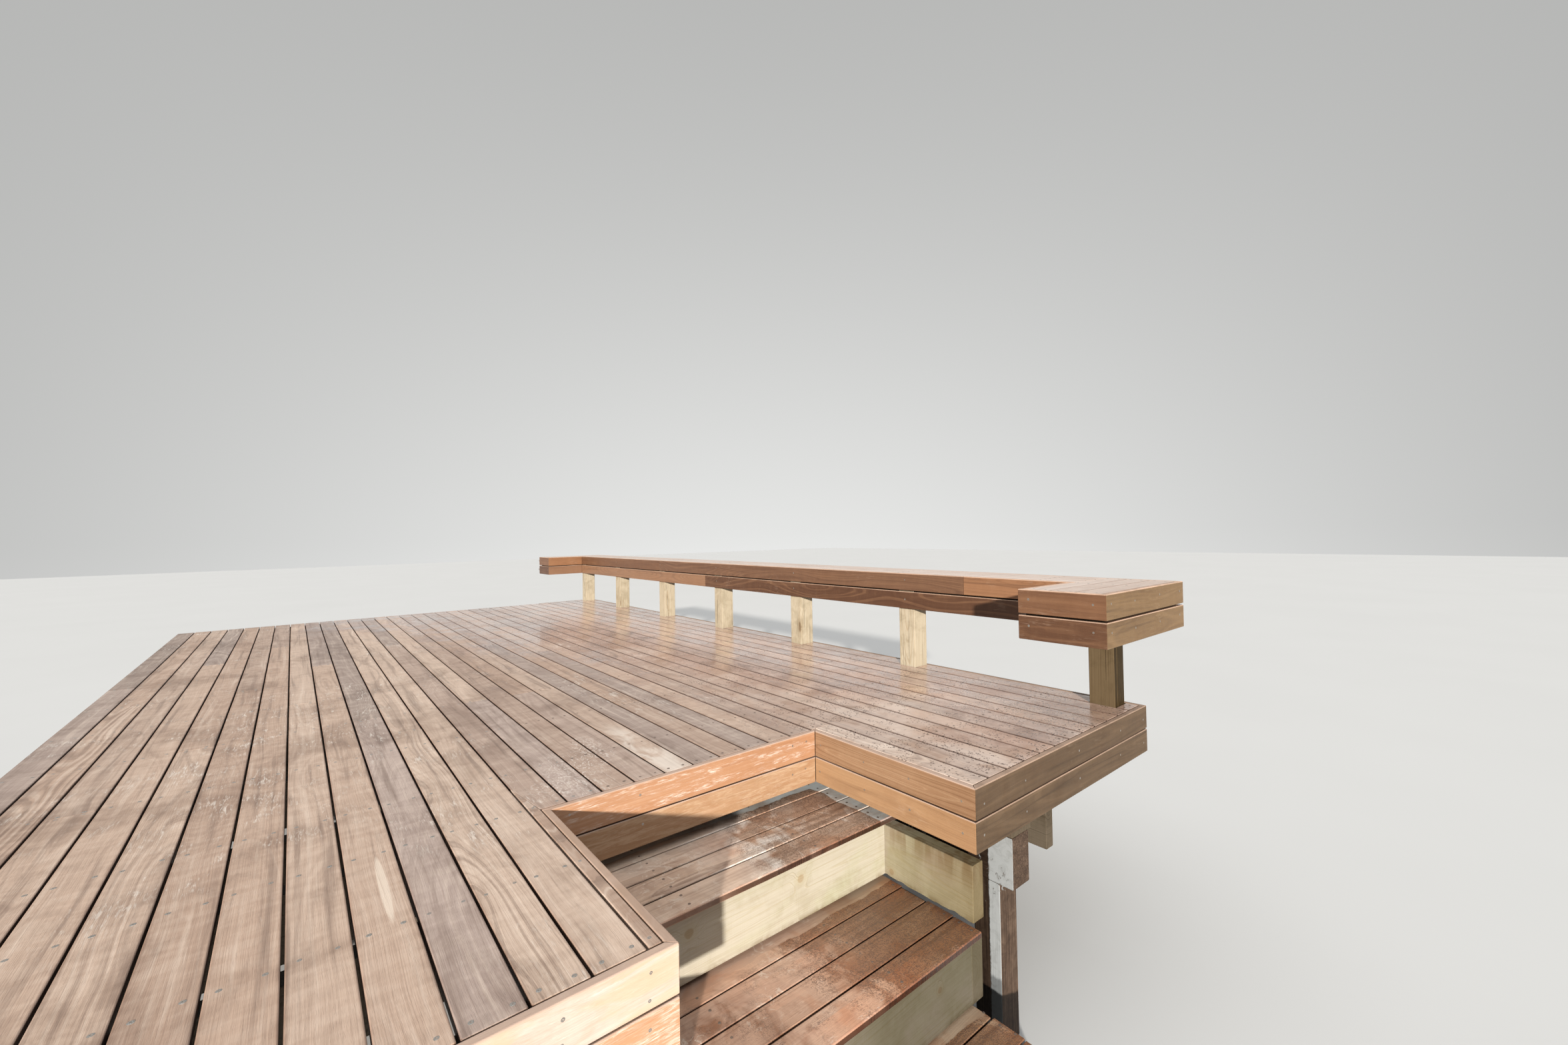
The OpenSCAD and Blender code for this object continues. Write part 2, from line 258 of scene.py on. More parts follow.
# ---------------------------------------------------------------- node code
class Mat:
    def __init__(self, name, **consts):
        self.m = bpy.data.materials.new(name)
        self.m.use_nodes = True
        self.t = self.m.node_tree
        self.t.nodes.clear()
        self.out = self.t.nodes.new("ShaderNodeOutputMaterial")
        self.b = self.t.nodes.new("ShaderNodeBsdfPrincipled")
        self.t.links.new(self.b.outputs[0], self.out.inputs[0])
        for k, v in consts.items():
            self.b.inputs[k.replace("_", " ")].default_value = v
        self._c = {}

    def put(self, sock, val):
        if isinstance(val, bpy.types.NodeSocket):
            self.t.links.new(val, sock)
        elif val is not None:
            if hasattr(sock.default_value, "__len__"):
                if not hasattr(val, "__len__"):
                    val = (val,) * len(sock.default_value)
                if len(sock.default_value) == 4 and len(val) == 3:
                    val = tuple(val) + (1.0,)
                sock.default_value = val
            else:
                sock.default_value = val

    def node(self, kind, ins=(), **props):
        nd = self.t.nodes.new(kind)
        for k, v in props.items():
            setattr(nd, k, v)
        for k, v in (ins.items() if isinstance(ins, dict) else enumerate(ins)):
            self.put(nd.inputs[k], v)
        return nd

    def math(self, op, a, b=None, c=None, clamp=False):
        return self.node("ShaderNodeMath", [a, b, c], operation=op, use_clamp=clamp).outputs[0]

    def mul(self, a, b): return self.math("MULTIPLY", a, b)
    def add(self, a, b): return self.math("ADD", a, b)
    def sub(self, a, b): return self.math("SUBTRACT", a, b)

    def vmath(self, op, a, b=None):
        nd = self.node("ShaderNodeVectorMath", [a, b], operation=op)
        return nd.outputs[1] if op in ("LENGTH", "DISTANCE", "DOT_PRODUCT") else nd.outputs[0]

    def xyz(self, x, y, z):
        return self.node("ShaderNodeCombineXYZ", [x, y, z]).outputs[0]

    def sep(self, v):
        return self.node("ShaderNodeSeparateXYZ", [v]).outputs

    def attr(self, name):
        if name not in self._c:
            self._c[name] = self.node("ShaderNodeAttribute", attribute_name=name)
        return self._c[name]

    def noise(self, vec, scale=1.0, detail=2.0, rough=0.5, dist=0.0, dims="3D", w=None):
        nd = self.t.nodes.new("ShaderNodeTexNoise")
        nd.noise_dimensions = dims
        if dims == "1D":
            self.put(nd.inputs["W"], w)
        else:
            self.put(nd.inputs["Vector"], vec)
        nd.inputs["Scale"].default_value = scale
        nd.inputs["Detail"].default_value = detail
        nd.inputs["Roughness"].default_value = rough
        nd.inputs["Distortion"].default_value = dist
        return nd.outputs[0]

    def voronoi(self, vec, scale, feature="F1", rand=1.0):
        nd = self.t.nodes.new("ShaderNodeTexVoronoi")
        nd.feature = feature
        self.put(nd.inputs["Vector"], vec)
        nd.inputs["Scale"].default_value = scale
        nd.inputs["Randomness"].default_value = rand
        return nd.outputs

    def step(self, x, a, b, lo=0.0, hi=1.0):
        """Smooth ramp of x from a to b (b may be below a)."""
        if b < a:
            a, b, lo, hi = b, a, hi, lo
        nd = self.t.nodes.new("ShaderNodeMapRange")
        nd.interpolation_type = "SMOOTHSTEP"
        self.put(nd.inputs[0], x)
        for k, v in ((1, a), (2, b), (3, lo), (4, hi)):
            nd.inputs[k].default_value = v
        return nd.outputs[0]

    def mix(self, fac, a, b, blend="MIX"):
        nd = self.t.nodes.new("ShaderNodeMix")
        nd.data_type = "RGBA"
        nd.blend_type = blend
        nd.clamp_factor = True
        self.put(nd.inputs[0], fac)
        self.put(nd.inputs[6], a)
        self.put(nd.inputs[7], b)
        return nd.outputs[2]

    def fmix(self, fac, a, b):
        nd = self.t.nodes.new("ShaderNodeMix")
        nd.data_type = "FLOAT"
        self.put(nd.inputs[0], fac)
        self.put(nd.inputs[2], a)
        self.put(nd.inputs[3], b)
        return nd.outputs[0]

    def ramp(self, fac, stops, interp="LINEAR"):
        nd = self.t.nodes.new("ShaderNodeValToRGB")
        cr = nd.color_ramp
        cr.interpolation = interp
        while len(cr.elements) < len(stops):
            cr.elements.new(0.5)
        for e, (p, c) in zip(cr.elements, stops):
            e.position = p
            e.color = tuple(c) + (1.0,)
        self.put(nd.inputs[0], fac)
        return nd.outputs[0]

    def deck(self):
        """Deck coordinates in metres."""
        if "_deck" not in self._c:
            tc = self.node("ShaderNodeTexCoord")
            self._c["_deck"] = self.vmath("ADD", tc.outputs["Object"], (OX, OY, 0.0))
        return self._c["_deck"]

    def spot(self, centre, radii, soft=0.4):
        """1 inside an ellipsoid in deck coordinates, mm, fading over its rim."""
        d = self.vmath("SUBTRACT", self.deck(), tuple(c / 1000.0 for c in centre))
        d = self.vmath("MULTIPLY", d, tuple(1000.0 / r for r in radii))
        return self.step(self.vmath("LENGTH", d), 1.0 + soft / 2, 1.0 - soft / 2)

    def end(self, color, rough, height, dist=0.0008, strength=1.0):
        self.put(self.b.inputs["Base Color"], color)
        self.put(self.b.inputs["Roughness"], rough)
        bp = self.t.nodes.new("ShaderNodeBump")
        bp.inputs["Strength"].default_value = strength
        bp.inputs["Distance"].default_value = dist
        self.put(bp.inputs["Height"], height)
        self.t.links.new(bp.outputs[0], self.b.inputs["Normal"])
        return self.m


def hardwood(name, tones, dark, light, fig=0.55, streak=0.5, fibre=0.3, pore=0.45, rings=75.0, blot=None,
             blot_amt=0.35, wet=None, speck=None, rough=0.62, wet_rough=0.24, pale=None, pale_amt=0.0,
             edge=0.35, extra=None, wet_dark=(0.50, 0.40, 0.36), pore_col=(0.06, 0.035, 0.022), gap=None, slot=None,
             ribs=0.12, top=None, half=0.045, gain=None, film=0.0, lines=None):
    """Hardwood decking: figure, fibres and pores run in board coordinates, dirt and water in deck ones."""
    g = Mat(name, Specular_IOR_Level=0.45)
    bc = g.attr("bc").outputs["Vector"]
    sc = g.node("ShaderNodeSeparateColor", [g.attr("bs").outputs["Color"]]).outputs
    s0, s1, s2 = sc[0], sc[1], sc[2]
    u, v, w = g.sep(bc)
    dk = g.deck()
    # grain wander, then distance from a tree centre below the board
    s3 = g.attr("bs").outputs["Alpha"]
    wander = g.noise(g.xyz(g.mul(u, 1.3), g.mul(v, 3.0), s1), 1.0, 2.0, 0.5)
    wander2 = g.noise(g.xyz(g.mul(u, 0.9), s2, 3.7), 1.0, 1.0, 0.5)
    vv = g.add(g.add(v, g.mul(g.sub(s2, 0.5), 0.09)), g.mul(g.sub(wander, 0.5), 0.045))
    depth = g.add(g.mul(g.sub(wander2, 0.36), 0.26), g.add(g.mul(s1, 0.05), w))
    rr = g.math("SQRT", g.add(g.mul(vv, vv), g.mul(depth, depth)))
    rr = g.add(rr, g.mul(g.noise(g.xyz(g.mul(u, 2.4), g.mul(v, 16.0), g.mul(w, 16.0)), 1.0, 1.0, 0.5), 0.014))
    rr = g.add(rr, g.mul(g.noise(g.xyz(g.mul(u, 11.0), g.mul(v, 90.0), g.mul(w, 90.0)), 1.0, 0.0, 0.5), 0.0022))
    ringn = g.noise(None, rings, 3.0, 0.62, dims="1D", w=g.add(rr, g.mul(s2, 9.0)))
    streakn = g.noise(g.xyz(g.mul(u, 1.4), g.mul(vv, 44.0), g.mul(w, 44.0)), 1.0, 4.0, 0.6)
    ribbon = g.noise(g.xyz(g.mul(u, 34.0), g.add(g.mul(v, 11.0), g.mul(u, 6.0)), s1), 1.0, 2.0, 0.6)
    fg = g.step(s3, 0.45, 1.0, 0.30, 1.0)
    fib = g.noise(g.xyz(g.mul(u, 2.6), g.mul(vv, 620.0), g.mul(w, 620.0)), 1.0, 3.0, 0.6)
    por = g.noise(g.xyz(g.mul(u, 55.0), g.mul(vv, 1300.0), g.mul(w, 1300.0)), 1.0, 1.0, 0.5)
    pmask = g.step(por, 0.52, 0.72)
    col = g.ramp(s0, tones)
    col = g.mix(g.mul(g.mul(g.step(ringn, 0.50, 0.34), fig), fg), col, dark)
    col = g.mix(g.mul(g.mul(g.step(ringn, 0.52, 0.66), fig * 0.85), fg), col, light)
    col = g.mix(g.step(ribbon, 0.45, 0.66, 0.0, ribs), col, light)
    col = g.mix(g.step(ribbon, 0.55, 0.34, 0.0, ribs * 0.8), col, dark)
    col = g.mix(g.mul(g.step(streakn, 0.48, 0.28), streak), col, dark)
    col = g.mix(g.mul(g.step(streakn, 0.55, 0.75), streak * 0.7), col, light)
    col = g.mix(g.mul(g.step(fib, 0.62, 0.30), fibre), col, (0.55, 0.48, 0.44), "MULTIPLY")
    col = g.mix(g.mul(pmask, pore), col, pore_col)
    big = g.noise(dk, 2.6, 4.0, 0.6, 0.4)
    mid = g.noise(g.vmath("MULTIPLY", dk, (1.0, 0.55, 1.0)), 11.0, 4.0, 0.62, 0.8)
    if blot:
        col = g.mix(g.mul(g.step(g.add(g.mul(big, 0.6), g.mul(mid, 0.4)), 0.46, 0.62), blot_amt), col, blot, "MULTIPLY")
    rgh = rough
    if pale_amt:
        pm = g.step(g.add(g.mul(mid, 0.45), g.mul(g.noise(g.xyz(g.mul(u, 26.0), g.mul(vv, 150.0), g.mul(w, 150.0)), 1.0, 4.0, 0.7, 0.6), 0.55)), 0.53, 0.66)
        pm = g.mul(pm, g.step(g.noise(dk, 1.7, 2.0, 0.5), 0.42, 0.62))
        col = g.mix(g.mul(pm, pale_amt), col, pale)
    # worn arris, darkened further as painted shade so the gaps between boards read as dark lines
    av = g.math("ABSOLUTE", v)
    if edge:
        arris_wear_and_shade_mask = g.step(g.add(av, g.mul(g.sub(mid, 0.5), 0.006)), half - 0.0065, half + 0.0005)
        col = g.mix(g.mul(arris_wear_and_shade_mask, edge), col, (0.42, 0.30, 0.25), "MULTIPLY")
    if extra:
        col = extra(g, col, dict(u=u, v=v, w=w, big=big, mid=mid, fib=fib, s0=s0, s1=s1, s2=s2, dk=dk))
    rgh = g.add(g.mul(fib, 0.14), g.add(g.mul(mid, 0.16), rough - 0.15))
    hgt = g.add(g.mul(fib, 0.45), g.add(g.mul(pmask, -0.12), g.mul(ringn, 0.35)))
    if wet:
        wm = wet(g, dk, big, mid)
        col = g.mix(wm, col, g.mix(1.0, col, wet_dark, "MULTIPLY"))
        rgh = g.fmix(wm, rgh, g.add(g.mul(mid, 0.18), wet_rough - 0.09))
        if film:
            pool = g.step(g.add(g.mul(g.noise(dk, 5.5, 4.0, 0.62, 0.7), 0.6), g.mul(g.noise(dk, 60.0, 3.0, 0.7), 0.4)), 0.44, 0.58)
            g.put(g.b.inputs["Coat Weight"], g.mul(g.mul(wm, pool), film))
            g.b.inputs["Coat Roughness"].default_value = 0.09
            g.b.inputs["Coat IOR"].default_value = 1.50
    if speck:
        sm = speck(g, dk, big, mid, u, vv)
        col = g.mix(sm, col, (0.085, 0.052, 0.040))
        rgh = g.fmix(sm, rgh, 0.16)
        hgt = g.add(hgt, g.mul(sm, 0.7))
    if gain:
        col = g.mix(1.0, col, (gain, gain, gain), "MULTIPLY")
    # weathered upper edge
    if top:
        col = g.mix(g.mul(g.step(v, half - 0.0045, half - 0.001), g.step(mid, 0.25, 0.60, 0.55, 1.0)), col, top)
    # dirt and painted shade down the gaps between boards
    if gap:
        gap_dirt_and_shade_mask = g.mul(g.step(av, half - 0.0016, half - 0.0004), g.step(w, gap, gap - 0.002))
        col = g.mix(gap_dirt_and_shade_mask, col, (0.16, 0.125, 0.105), "MULTIPLY")
    # painted shade: dark lines along the board edges, fading in across X from lines[0] to lines[1]
    if lines:
        lm = g.mul(g.step(g.add(av, g.mul(g.sub(mid, 0.5), 0.003)), half - 0.0042, half - 0.0016), g.step(g.sep(dk)[0], lines[0], lines[1]))
        col = g.mix(g.mul(lm, 0.7), col, (0.22, 0.165, 0.14), "MULTIPLY")
    # painted shade in and along the slot between the two boards
    if slot:
        dz = g.math("ABSOLUTE", g.sub(g.sep(dk)[2], slot[0]))
        col = g.mix(g.step(dz, slot[1] + 0.0006, slot[1] - 0.0004), col, (0.16, 0.12, 0.10), "MULTIPLY")
    # end grain
    nrm = g.node("ShaderNodeNewGeometry").outputs["True Normal"]
    eg = g.step(g.math("ABSOLUTE", g.vmath("DOT_PRODUCT", nrm, g.attr("ax").outputs["Vector"])), 0.55, 0.75)
    col = g.mix(g.mul(eg, 0.8), col, (0.30, 0.23, 0.19), "MULTIPLY")
    return g.end(col, rgh, hgt, 0.0009, 0.8)


def softwood(name, tones, late, knot=(0.16, 0.085, 0.035), ring=55.0, ring_amt=0.4, mill=0.0, knots=(), dirt=0.25,
             dirt_col=(0.45, 0.42, 0.34), rough=0.72, green=0.0, split=0.0, random_knots=0.0, extra=None, fibre=0.22, gain=None):
    """Sawn pine: growth lines bent round knots, saw marks across, dirt in deck coordinates."""
    g = Mat(name, Specular_IOR_Level=0.35)
    bc = g.attr("bc").outputs["Vector"]
    sc = g.node("ShaderNodeSeparateColor", [g.attr("bs").outputs["Color"]]).outputs
    s0, s1, s2 = sc[0], sc[1], sc[2]
    u, v, w = g.sep(bc)
    dk = g.deck()
    wander = g.noise(g.xyz(g.mul(u, 0.9), g.mul(v, 2.0), s1), 1.0, 2.0, 0.5)
    wander2 = g.noise(g.xyz(g.mul(u, 0.6), s2, 1.3), 1.0, 1.0, 0.5)
    vv = g.add(v, g.mul(g.sub(wander, 0.5), 0.06))
    depth = g.add(g.add(g.mul(g.sub(wander2, 0.4), 0.22), g.mul(s1, 0.09)), w)
    rr = g.math("SQRT", g.add(g.mul(vv, vv), g.mul(depth, depth)))
    kmask = None
    bend = None
    for (c, rad) in knots:
        d = g.vmath("SUBTRACT", dk, tuple(q / 1000.0 for q in c))
        d = g.vmath("LENGTH", d)
        d = g.add(d, g.mul(g.sub(g.noise(dk, 70.0, 2.0, 0.5), 0.5), 0.006))
        km = g.step(d, rad * 1.25 / 1000.0, rad * 0.8 / 1000.0)
        bd = g.step(d, rad * 4.2 / 1000.0, rad * 0.6 / 1000.0)
        kmask = km if kmask is None else g.math("MAXIMUM", kmask, km)
        bend = bd if bend is None else g.add(bend, bd)
    if random_knots:
        vo = g.voronoi(g.xyz(g.mul(u, 2.6), g.mul(v, 9.0), g.add(g.mul(w, 9.0), g.mul(s2, 5.0))), 1.0)
        d = g.add(vo[0], g.mul(g.sub(g.noise(bc, 60.0, 2.0, 0.5), 0.5), 0.05))
        km = g.mul(g.step(d, 0.12, 0.075), random_knots)
        bd = g.mul(g.step(d, 0.42, 0.05), random_knots)
        kmask = km if kmask is None else g.math("MAXIMUM", kmask, km)
        bend = bd if bend is None else g.add(bend, bd)
    if bend is not None:
        rr = g.add(rr, g.mul(bend, 0.022))
    ringn = g.noise(None, ring * 4.0, 1.0, 0.5, dims="1D", w=g.add(rr, g.mul(s2, 7.0)))
    lines = g.step(ringn, 0.52, 0.68)
    fib = g.noise(g.xyz(g.mul(u, 7.0), g.mul(vv, 300.0), g.mul(w, 300.0)), 1.0, 2.0, 0.6)
    big = g.noise(dk, 3.1, 4.0, 0.6, 0.5)
    mid = g.noise(dk, 17.0, 4.0, 0.62, 0.6)
    col = g.ramp(s0, tones)
    col = g.mix(g.mul(lines, ring_amt), col, late)
    col = g.mix(g.mul(g.step(fib, 0.62, 0.32), fibre), col, (0.62, 0.55, 0.44), "MULTIPLY")
    if green:
        col = g.mix(g.mul(g.step(big, 0.44, 0.62), green), col, (0.80, 0.92, 0.62), "MULTIPLY")
    if kmask is not None:
        col = g.mix(g.mul(g.step(bend, 0.35, 0.9), 0.35), col, late)
        col = g.mix(g.mul(kmask, 0.85), col, knot)
    col = g.mix(g.mul(g.step(g.add(g.mul(big, 0.5), g.mul(mid, 0.5)), 0.45, 0.64), dirt), col, dirt_col, "MULTIPLY")
    hgt = g.add(g.mul(fib, 0.35), g.mul(lines, 0.25))
    if mill:
        ml = g.noise(g.xyz(g.mul(u, 330.0), g.mul(v, 7.0), g.mul(w, 7.0)), 1.0, 1.0, 0.5)
        col = g.mix(g.mul(g.step(ml, 0.55, 0.35), mill * 0.5), col, (0.72, 0.66, 0.55), "MULTIPLY")
        hgt = g.add(hgt, g.mul(ml, 0.8 * mill))
    if split:
        sp = g.noise(g.xyz(g.mul(u, 1.6), g.mul(vv, 95.0), g.mul(w, 95.0)), 1.0, 2.0, 0.5)
        sm = g.step(sp, 0.66, 0.72)
        col = g.mix(g.mul(sm, split), col, (0.03, 0.022, 0.015))
        hgt = g.sub(hgt, g.mul(sm, 1.6))
    if extra:
        col = extra(g, col, dict(u=u, v=v, w=w, big=big, mid=mid, fib=fib, s0=s0, s1=s1, s2=s2, dk=dk))
    if gain:
        col = g.mix(1.0, col, (gain, gain, gain), "MULTIPLY")
    nrm = g.node("ShaderNodeNewGeometry").outputs["True Normal"]
    eg = g.step(g.math("ABSOLUTE", g.vmath("DOT_PRODUCT", nrm, g.attr("ax").outputs["Vector"])), 0.55, 0.75)
    col = g.mix(g.mul(eg, 0.55), col, (0.60, 0.54, 0.44), "MULTIPLY")
    rgh = g.add(g.mul(fib, 0.12), g.add(g.mul(mid, 0.12), rough - 0.12))
    return g.end(col, rgh, hgt, 0.0010, 0.8)


# ---------------------------------------------------------------- materials
bpy.context.scene.view_settings.view_transform = "Standard"


def deck_wet(g, dk, big, mid):
    x, y, z = g.sep(dk)
    a = g.add(g.mul(x, 0.62), g.add(g.mul(y, 0.20), g.mul(g.sub(big, 0.5), 1.5)))
    return g.mul(g.step(a, 0.95, 1.5), 0.9)


def deck_speck(g, dk, big, mid, u, vv):
    x, y, z = g.sep(dk)
    zone = g.mul(g.step(x, 1.05, 1.5), g.step(y, 3.4, 1.2))
    vo = g.voronoi(g.vmath("MULTIPLY", dk, (118.0, 118.0, 1.0)), 1.0)
    s = g.step(vo[0], 0.42, 0.26)
    clus = g.step(g.add(g.noise(dk, 14.0, 3.0, 0.6), g.mul(g.step(y, 1.4, 0.1), 0.07)), 0.49, 0.59)
    rnd = g.step(g.node("ShaderNodeSeparateColor", [vo[1]]).outputs[0], 0.30, 0.40)
    return g.mul(g.mul(g.mul(s, clus), g.mul(zone, rnd)), 0.85)


def tread_dry(g, dk):
    """The strips in the shelter of the risers and the fascias, which stay dry."""
    x, y, z = g.sep(dk)
    n = g.mul(g.sub(g.noise(g.vmath("MULTIPLY", dk, (8.0, 8.0, 1.0)), 1.0, 4.0, 0.6), 0.5), 0.050)
    up, mid, low = g.step(z, 0.60, 0.61), g.mul(g.step(z, 0.39, 0.40), g.step(z, 0.43, 0.42)), g.step(z, 0.22, 0.21)
    yy, xx = g.add(y, n), g.add(x, n)
    dry = g.math("MAXIMUM", g.mul(mid, g.step(yy, 0.352, 0.358)), g.mul(low, g.step(yy, 0.024, 0.030)))
    return g.math("MAXIMUM", dry, g.mul(up, g.math("MAXIMUM", g.step(yy, 0.668, 0.674), g.step(xx, 1.397, 1.403))))


def tread_wet(g, dk, big, mid):
    x, y, z = g.sep(dk)
    n = g.add(g.add(g.mul(big, 0.5), g.mul(mid, 0.5)), g.step(x, 0.75, 1.25, -0.10, 0.09))
    return g.mul(g.step(n, 0.46, 0.56), g.step(tread_dry(g, dk), 1.0, 0.0))


def tread_speck(g, dk, big, mid, u, vv):
    x, y, z = g.sep(dk)
    dots = g.noise(g.vmath("MULTIPLY", dk, (330.0, 330.0, 1.0)), 1.0, 1.0, 0.5)
    dots = g.add(g.mul(dots, 0.65), g.mul(g.noise(g.vmath("MULTIPLY", dk, (150.0, 150.0, 1.0)), 1.0, 2.0, 0.5), 0.35))
    n = g.add(g.add(g.mul(big, 0.45), g.mul(g.noise(dk, 15.0, 3.0, 0.6), 0.55)), g.step(x, 0.72, 1.20, -0.10, 0.10))
    return g.mul(g.mul(g.mul(g.step(dots, 0.44, 0.60), g.step(n, 0.43, 0.60)), g.step(tread_dry(g, dk), 1.0, 0.0)), 0.62)


def deck_extra(g, col, q):
    x, y, z = g.sep(q["dk"])
    # lighter in patches toward +X: partly weathering, partly a painted sheen on the wet boards
    col = g.mix(g.mul(g.step(g.add(x, g.mul(y, -0.06)), 1.0, 1.7), g.step(q["mid"], 0.30, 0.62, 0.08, 0.36)), col, (0.80, 0.70, 0.64))
    # a bleached board end behind the steps, a gouge and scuffs on the near boards
    a = g.mul(g.mul(g.spot((874, 820, D), (46, 300, 60), 0.9), g.step(q["mid"], 0.36, 0.56)), g.step(q["fib"], 0.30, 0.52, 0.55, 1.0))
    col = g.mix(g.mul(a, 0.75), col, (0.70, 0.62, 0.545))
    a = g.spot((134, 510, D), (8, 138, 40), 0.3)
    a = g.mul(a, g.step(q["fib"], 0.30, 0.42))
    col = g.mix(g.mul(a, 0.8), col, (0.66, 0.55, 0.45))
    for c, r in (((560, 760, D), (70, 70, 40)), ((640, 880, D), (80, 120, 40)), ((740, 980, D), (46, 150, 40))):
        sc = g.noise(g.vmath("MULTIPLY", q["dk"], (1.0, 0.6, 1.0)), 60.0, 3.0, 0.7, 2.5)
        col = g.mix(g.mul(g.mul(g.spot(c, r, 1.0), g.step(sc, 0.52, 0.62)), 0.55), col, (0.70, 0.63, 0.57))
    return col


def tread_extra(g, col, q):
    x, y, z = g.sep(q["dk"])
    yy = g.add(y, g.mul(g.sub(q["mid"], 0.5), 0.014))

    def front(a):
        return g.math("MAXIMUM", g.math("MAXIMUM", g.mul(g.step(z, 0.60, 0.61), g.step(yy, 0.345 + a + 0.003, 0.345 + a)),
                                        g.mul(g.mul(g.step(z, 0.39, 0.40), g.step(z, 0.43, 0.42)), g.step(yy, 0.034 + a + 0.003, 0.034 + a))),
                      g.mul(g.step(z, 0.22, 0.21), g.step(yy, -0.277 + a + 0.003, -0.277 + a)))

    # grey where it stays dry, dark along the rim of the wet part
    dry = tread_dry(g, q["dk"])
    col = g.mix(g.mul(g.step(dry, 0.0, 0.5), g.step(z, 0.60, 0.61, 0.62, 0.85)), col, g.mix(g.step(z, 0.60, 0.61), (0.40, 0.325, 0.275), (0.46, 0.42, 0.385)))
    # each board has weathered its own way: brown streaks to the left, rust and black stains to the right
    board = g.noise(g.xyz(g.mul(x, 2.2), g.mul(g.math("FLOOR", g.mul(g.add(y, 0.2825), 10.64)), 3.3), g.mul(z, 9.0)), 1.0, 2.0, 0.55)
    # painted light on the upper tread: lighter on its left part, where the stair side's shadow falls, and lighter and
    # bluer on its right part, a painted reflection of the sky on the wet boards
    col = g.mix(g.mul(g.step(x, 0.98, 0.80), g.step(z, 0.60, 0.61)), col, (1.18, 1.15, 1.10), "MULTIPLY")
    col = g.mix(g.mul(g.step(x, 0.92, 1.05), g.step(z, 0.60, 0.61)), col, (1.13, 1.34, 1.50), "MULTIPLY")
    col = g.mix(g.step(z, 0.43, 0.42), col, g.mix(1.0, col, g.mix(g.step(x, 1.0, 1.35), (0.93, 0.77, 0.68), (0.78, 0.72, 0.60)), "MULTIPLY"))
    col = g.mix(g.step(board, 0.50, 0.34, 0.0, 0.75), col, (0.60, 0.50, 0.43), "MULTIPLY")
    col = g.mix(g.step(board, 0.52, 0.68, 0.0, 0.60), col, (1.22, 1.00, 0.86), "MULTIPLY")
    # the sunlit front arrises of the inner boards
    for e in (0.439, 0.627):
        li = g.mul(g.mul(g.step(z, 0.60, 0.61), g.step(g.math("ABSOLUTE", g.sub(y, e + 0.0014)), 0.0026, 0.0014)), g.step(x, 0.80, 0.95))
        col = g.mix(g.mul(g.mul(li, g.step(q["mid"], 0.25, 0.5)), 0.85), col, (0.80, 0.70, 0.62))
    # reddish where the front arris is worn, with pale scuffs behind it
    fine = g.noise(g.vmath("MULTIPLY", q["dk"], (60.0, 160.0, 160.0)), 1.0, 3.0, 0.65, 1.0)
    scuff = g.mul(front(0.016), g.mul(g.step(fine, 0.53, 0.63), g.step(q["mid"], 0.42, 0.60)))
    col = g.mix(g.mul(scuff, 0.75), col, (0.66, 0.56, 0.48))
    col = g.mix(g.mul(front(0.002), g.step(fine, 0.30, 0.60, 0.25, 0.65)), col, (0.43, 0.235, 0.16))
    # rusty wet patches and lichen-pale dry ones
    rust = g.noise(q["dk"], 7.0, 3.0, 0.6, 0.5)
    col = g.mix(g.mul(g.step(g.add(rust, g.step(x, 0.8, 1.4, -0.08, 0.05)), 0.48, 0.62), 0.5), col, (0.78, 0.56, 0.42), "MULTIPLY")
    lich = g.mul(g.step(g.noise(q["dk"], 34.0, 4.0, 0.7, 1.2), 0.52, 0.62), g.step(g.add(rust, g.step(x, 0.9, 1.3, 0.0, 0.12)), 0.50, 0.40))
    return g.mix(g.mul(lich, g.step(x, 0.80, 1.20, 0.42, 0.15)), col, (0.68, 0.60, 0.51))


def near_extra(g, col, q):
    # bleached, with the orange still showing toward the corner and in drawn-out patches
    x, y, z = g.sep(q["dk"])
    n = g.noise(g.xyz(g.mul(x, 5.0), g.mul(z, 26.0), 0.0), 1.0, 4.0, 0.65, 0.7)
    fl = g.noise(g.xyz(g.mul(x, 30.0), g.mul(z, 260.0), 0.0), 1.0, 4.0, 0.7, 0.4)
    up = g.step(z, 0.7475, 0.7485)
    tint = g.mul(g.step(g.add(n, g.step(x, 0.30, 0.50, 0.0, 0.10)), 0.47, 0.66), up)
    col = g.mix(g.mul(tint, 0.55), col, (0.72, 0.47, 0.29))
    white = g.mul(g.mul(g.step(n, 0.40, 0.60), g.step(fl, 0.42, 0.64)), g.step(z, 0.7485, 0.7475))
    return g.mix(g.mul(white, 0.7), col, (0.88, 0.76, 0.66))


def back_extra(g, col, q):
    # the upper board: bleached scuffs drawn out along it over strong orange
    x, y, z = g.sep(q["dk"])
    up = g.step(z, 0.7475, 0.7485)
    n = g.noise(g.xyz(g.mul(x, 7.0), g.mul(z, 60.0), 0.0), 1.0, 4.0, 0.65, 0.8)
    fl = g.noise(g.xyz(g.mul(x, 34.0), g.mul(z, 300.0), 0.0), 1.0, 4.0, 0.7, 0.4)
    m = g.mul(g.step(n, 0.44, 0.68), g.step(fl, 0.42, 0.66))
    col = g.mix(g.mul(g.mul(m, up), 0.85), col, (0.88, 0.76, 0.67))
    lo = g.mul(g.step(g.add(g.mul(n, 0.6), g.mul(fl, 0.4)), 0.47, 0.60), g.step(z, 0.7485, 0.7475))
    return g.mix(g.mul(lo, 0.35), col, (0.74, 0.56, 0.39))


def right_extra(g, col, q):
    # weather-darkened toward the open corner
    x, y, z = g.sep(q["dk"])
    m = g.mul(g.step(g.add(y, g.mul(g.sub(q["mid"], 0.5), 0.25)), 0.22, 0.0), 0.35)
    return g.mix(m, col, (0.62, 0.52, 0.44), "MULTIPLY")


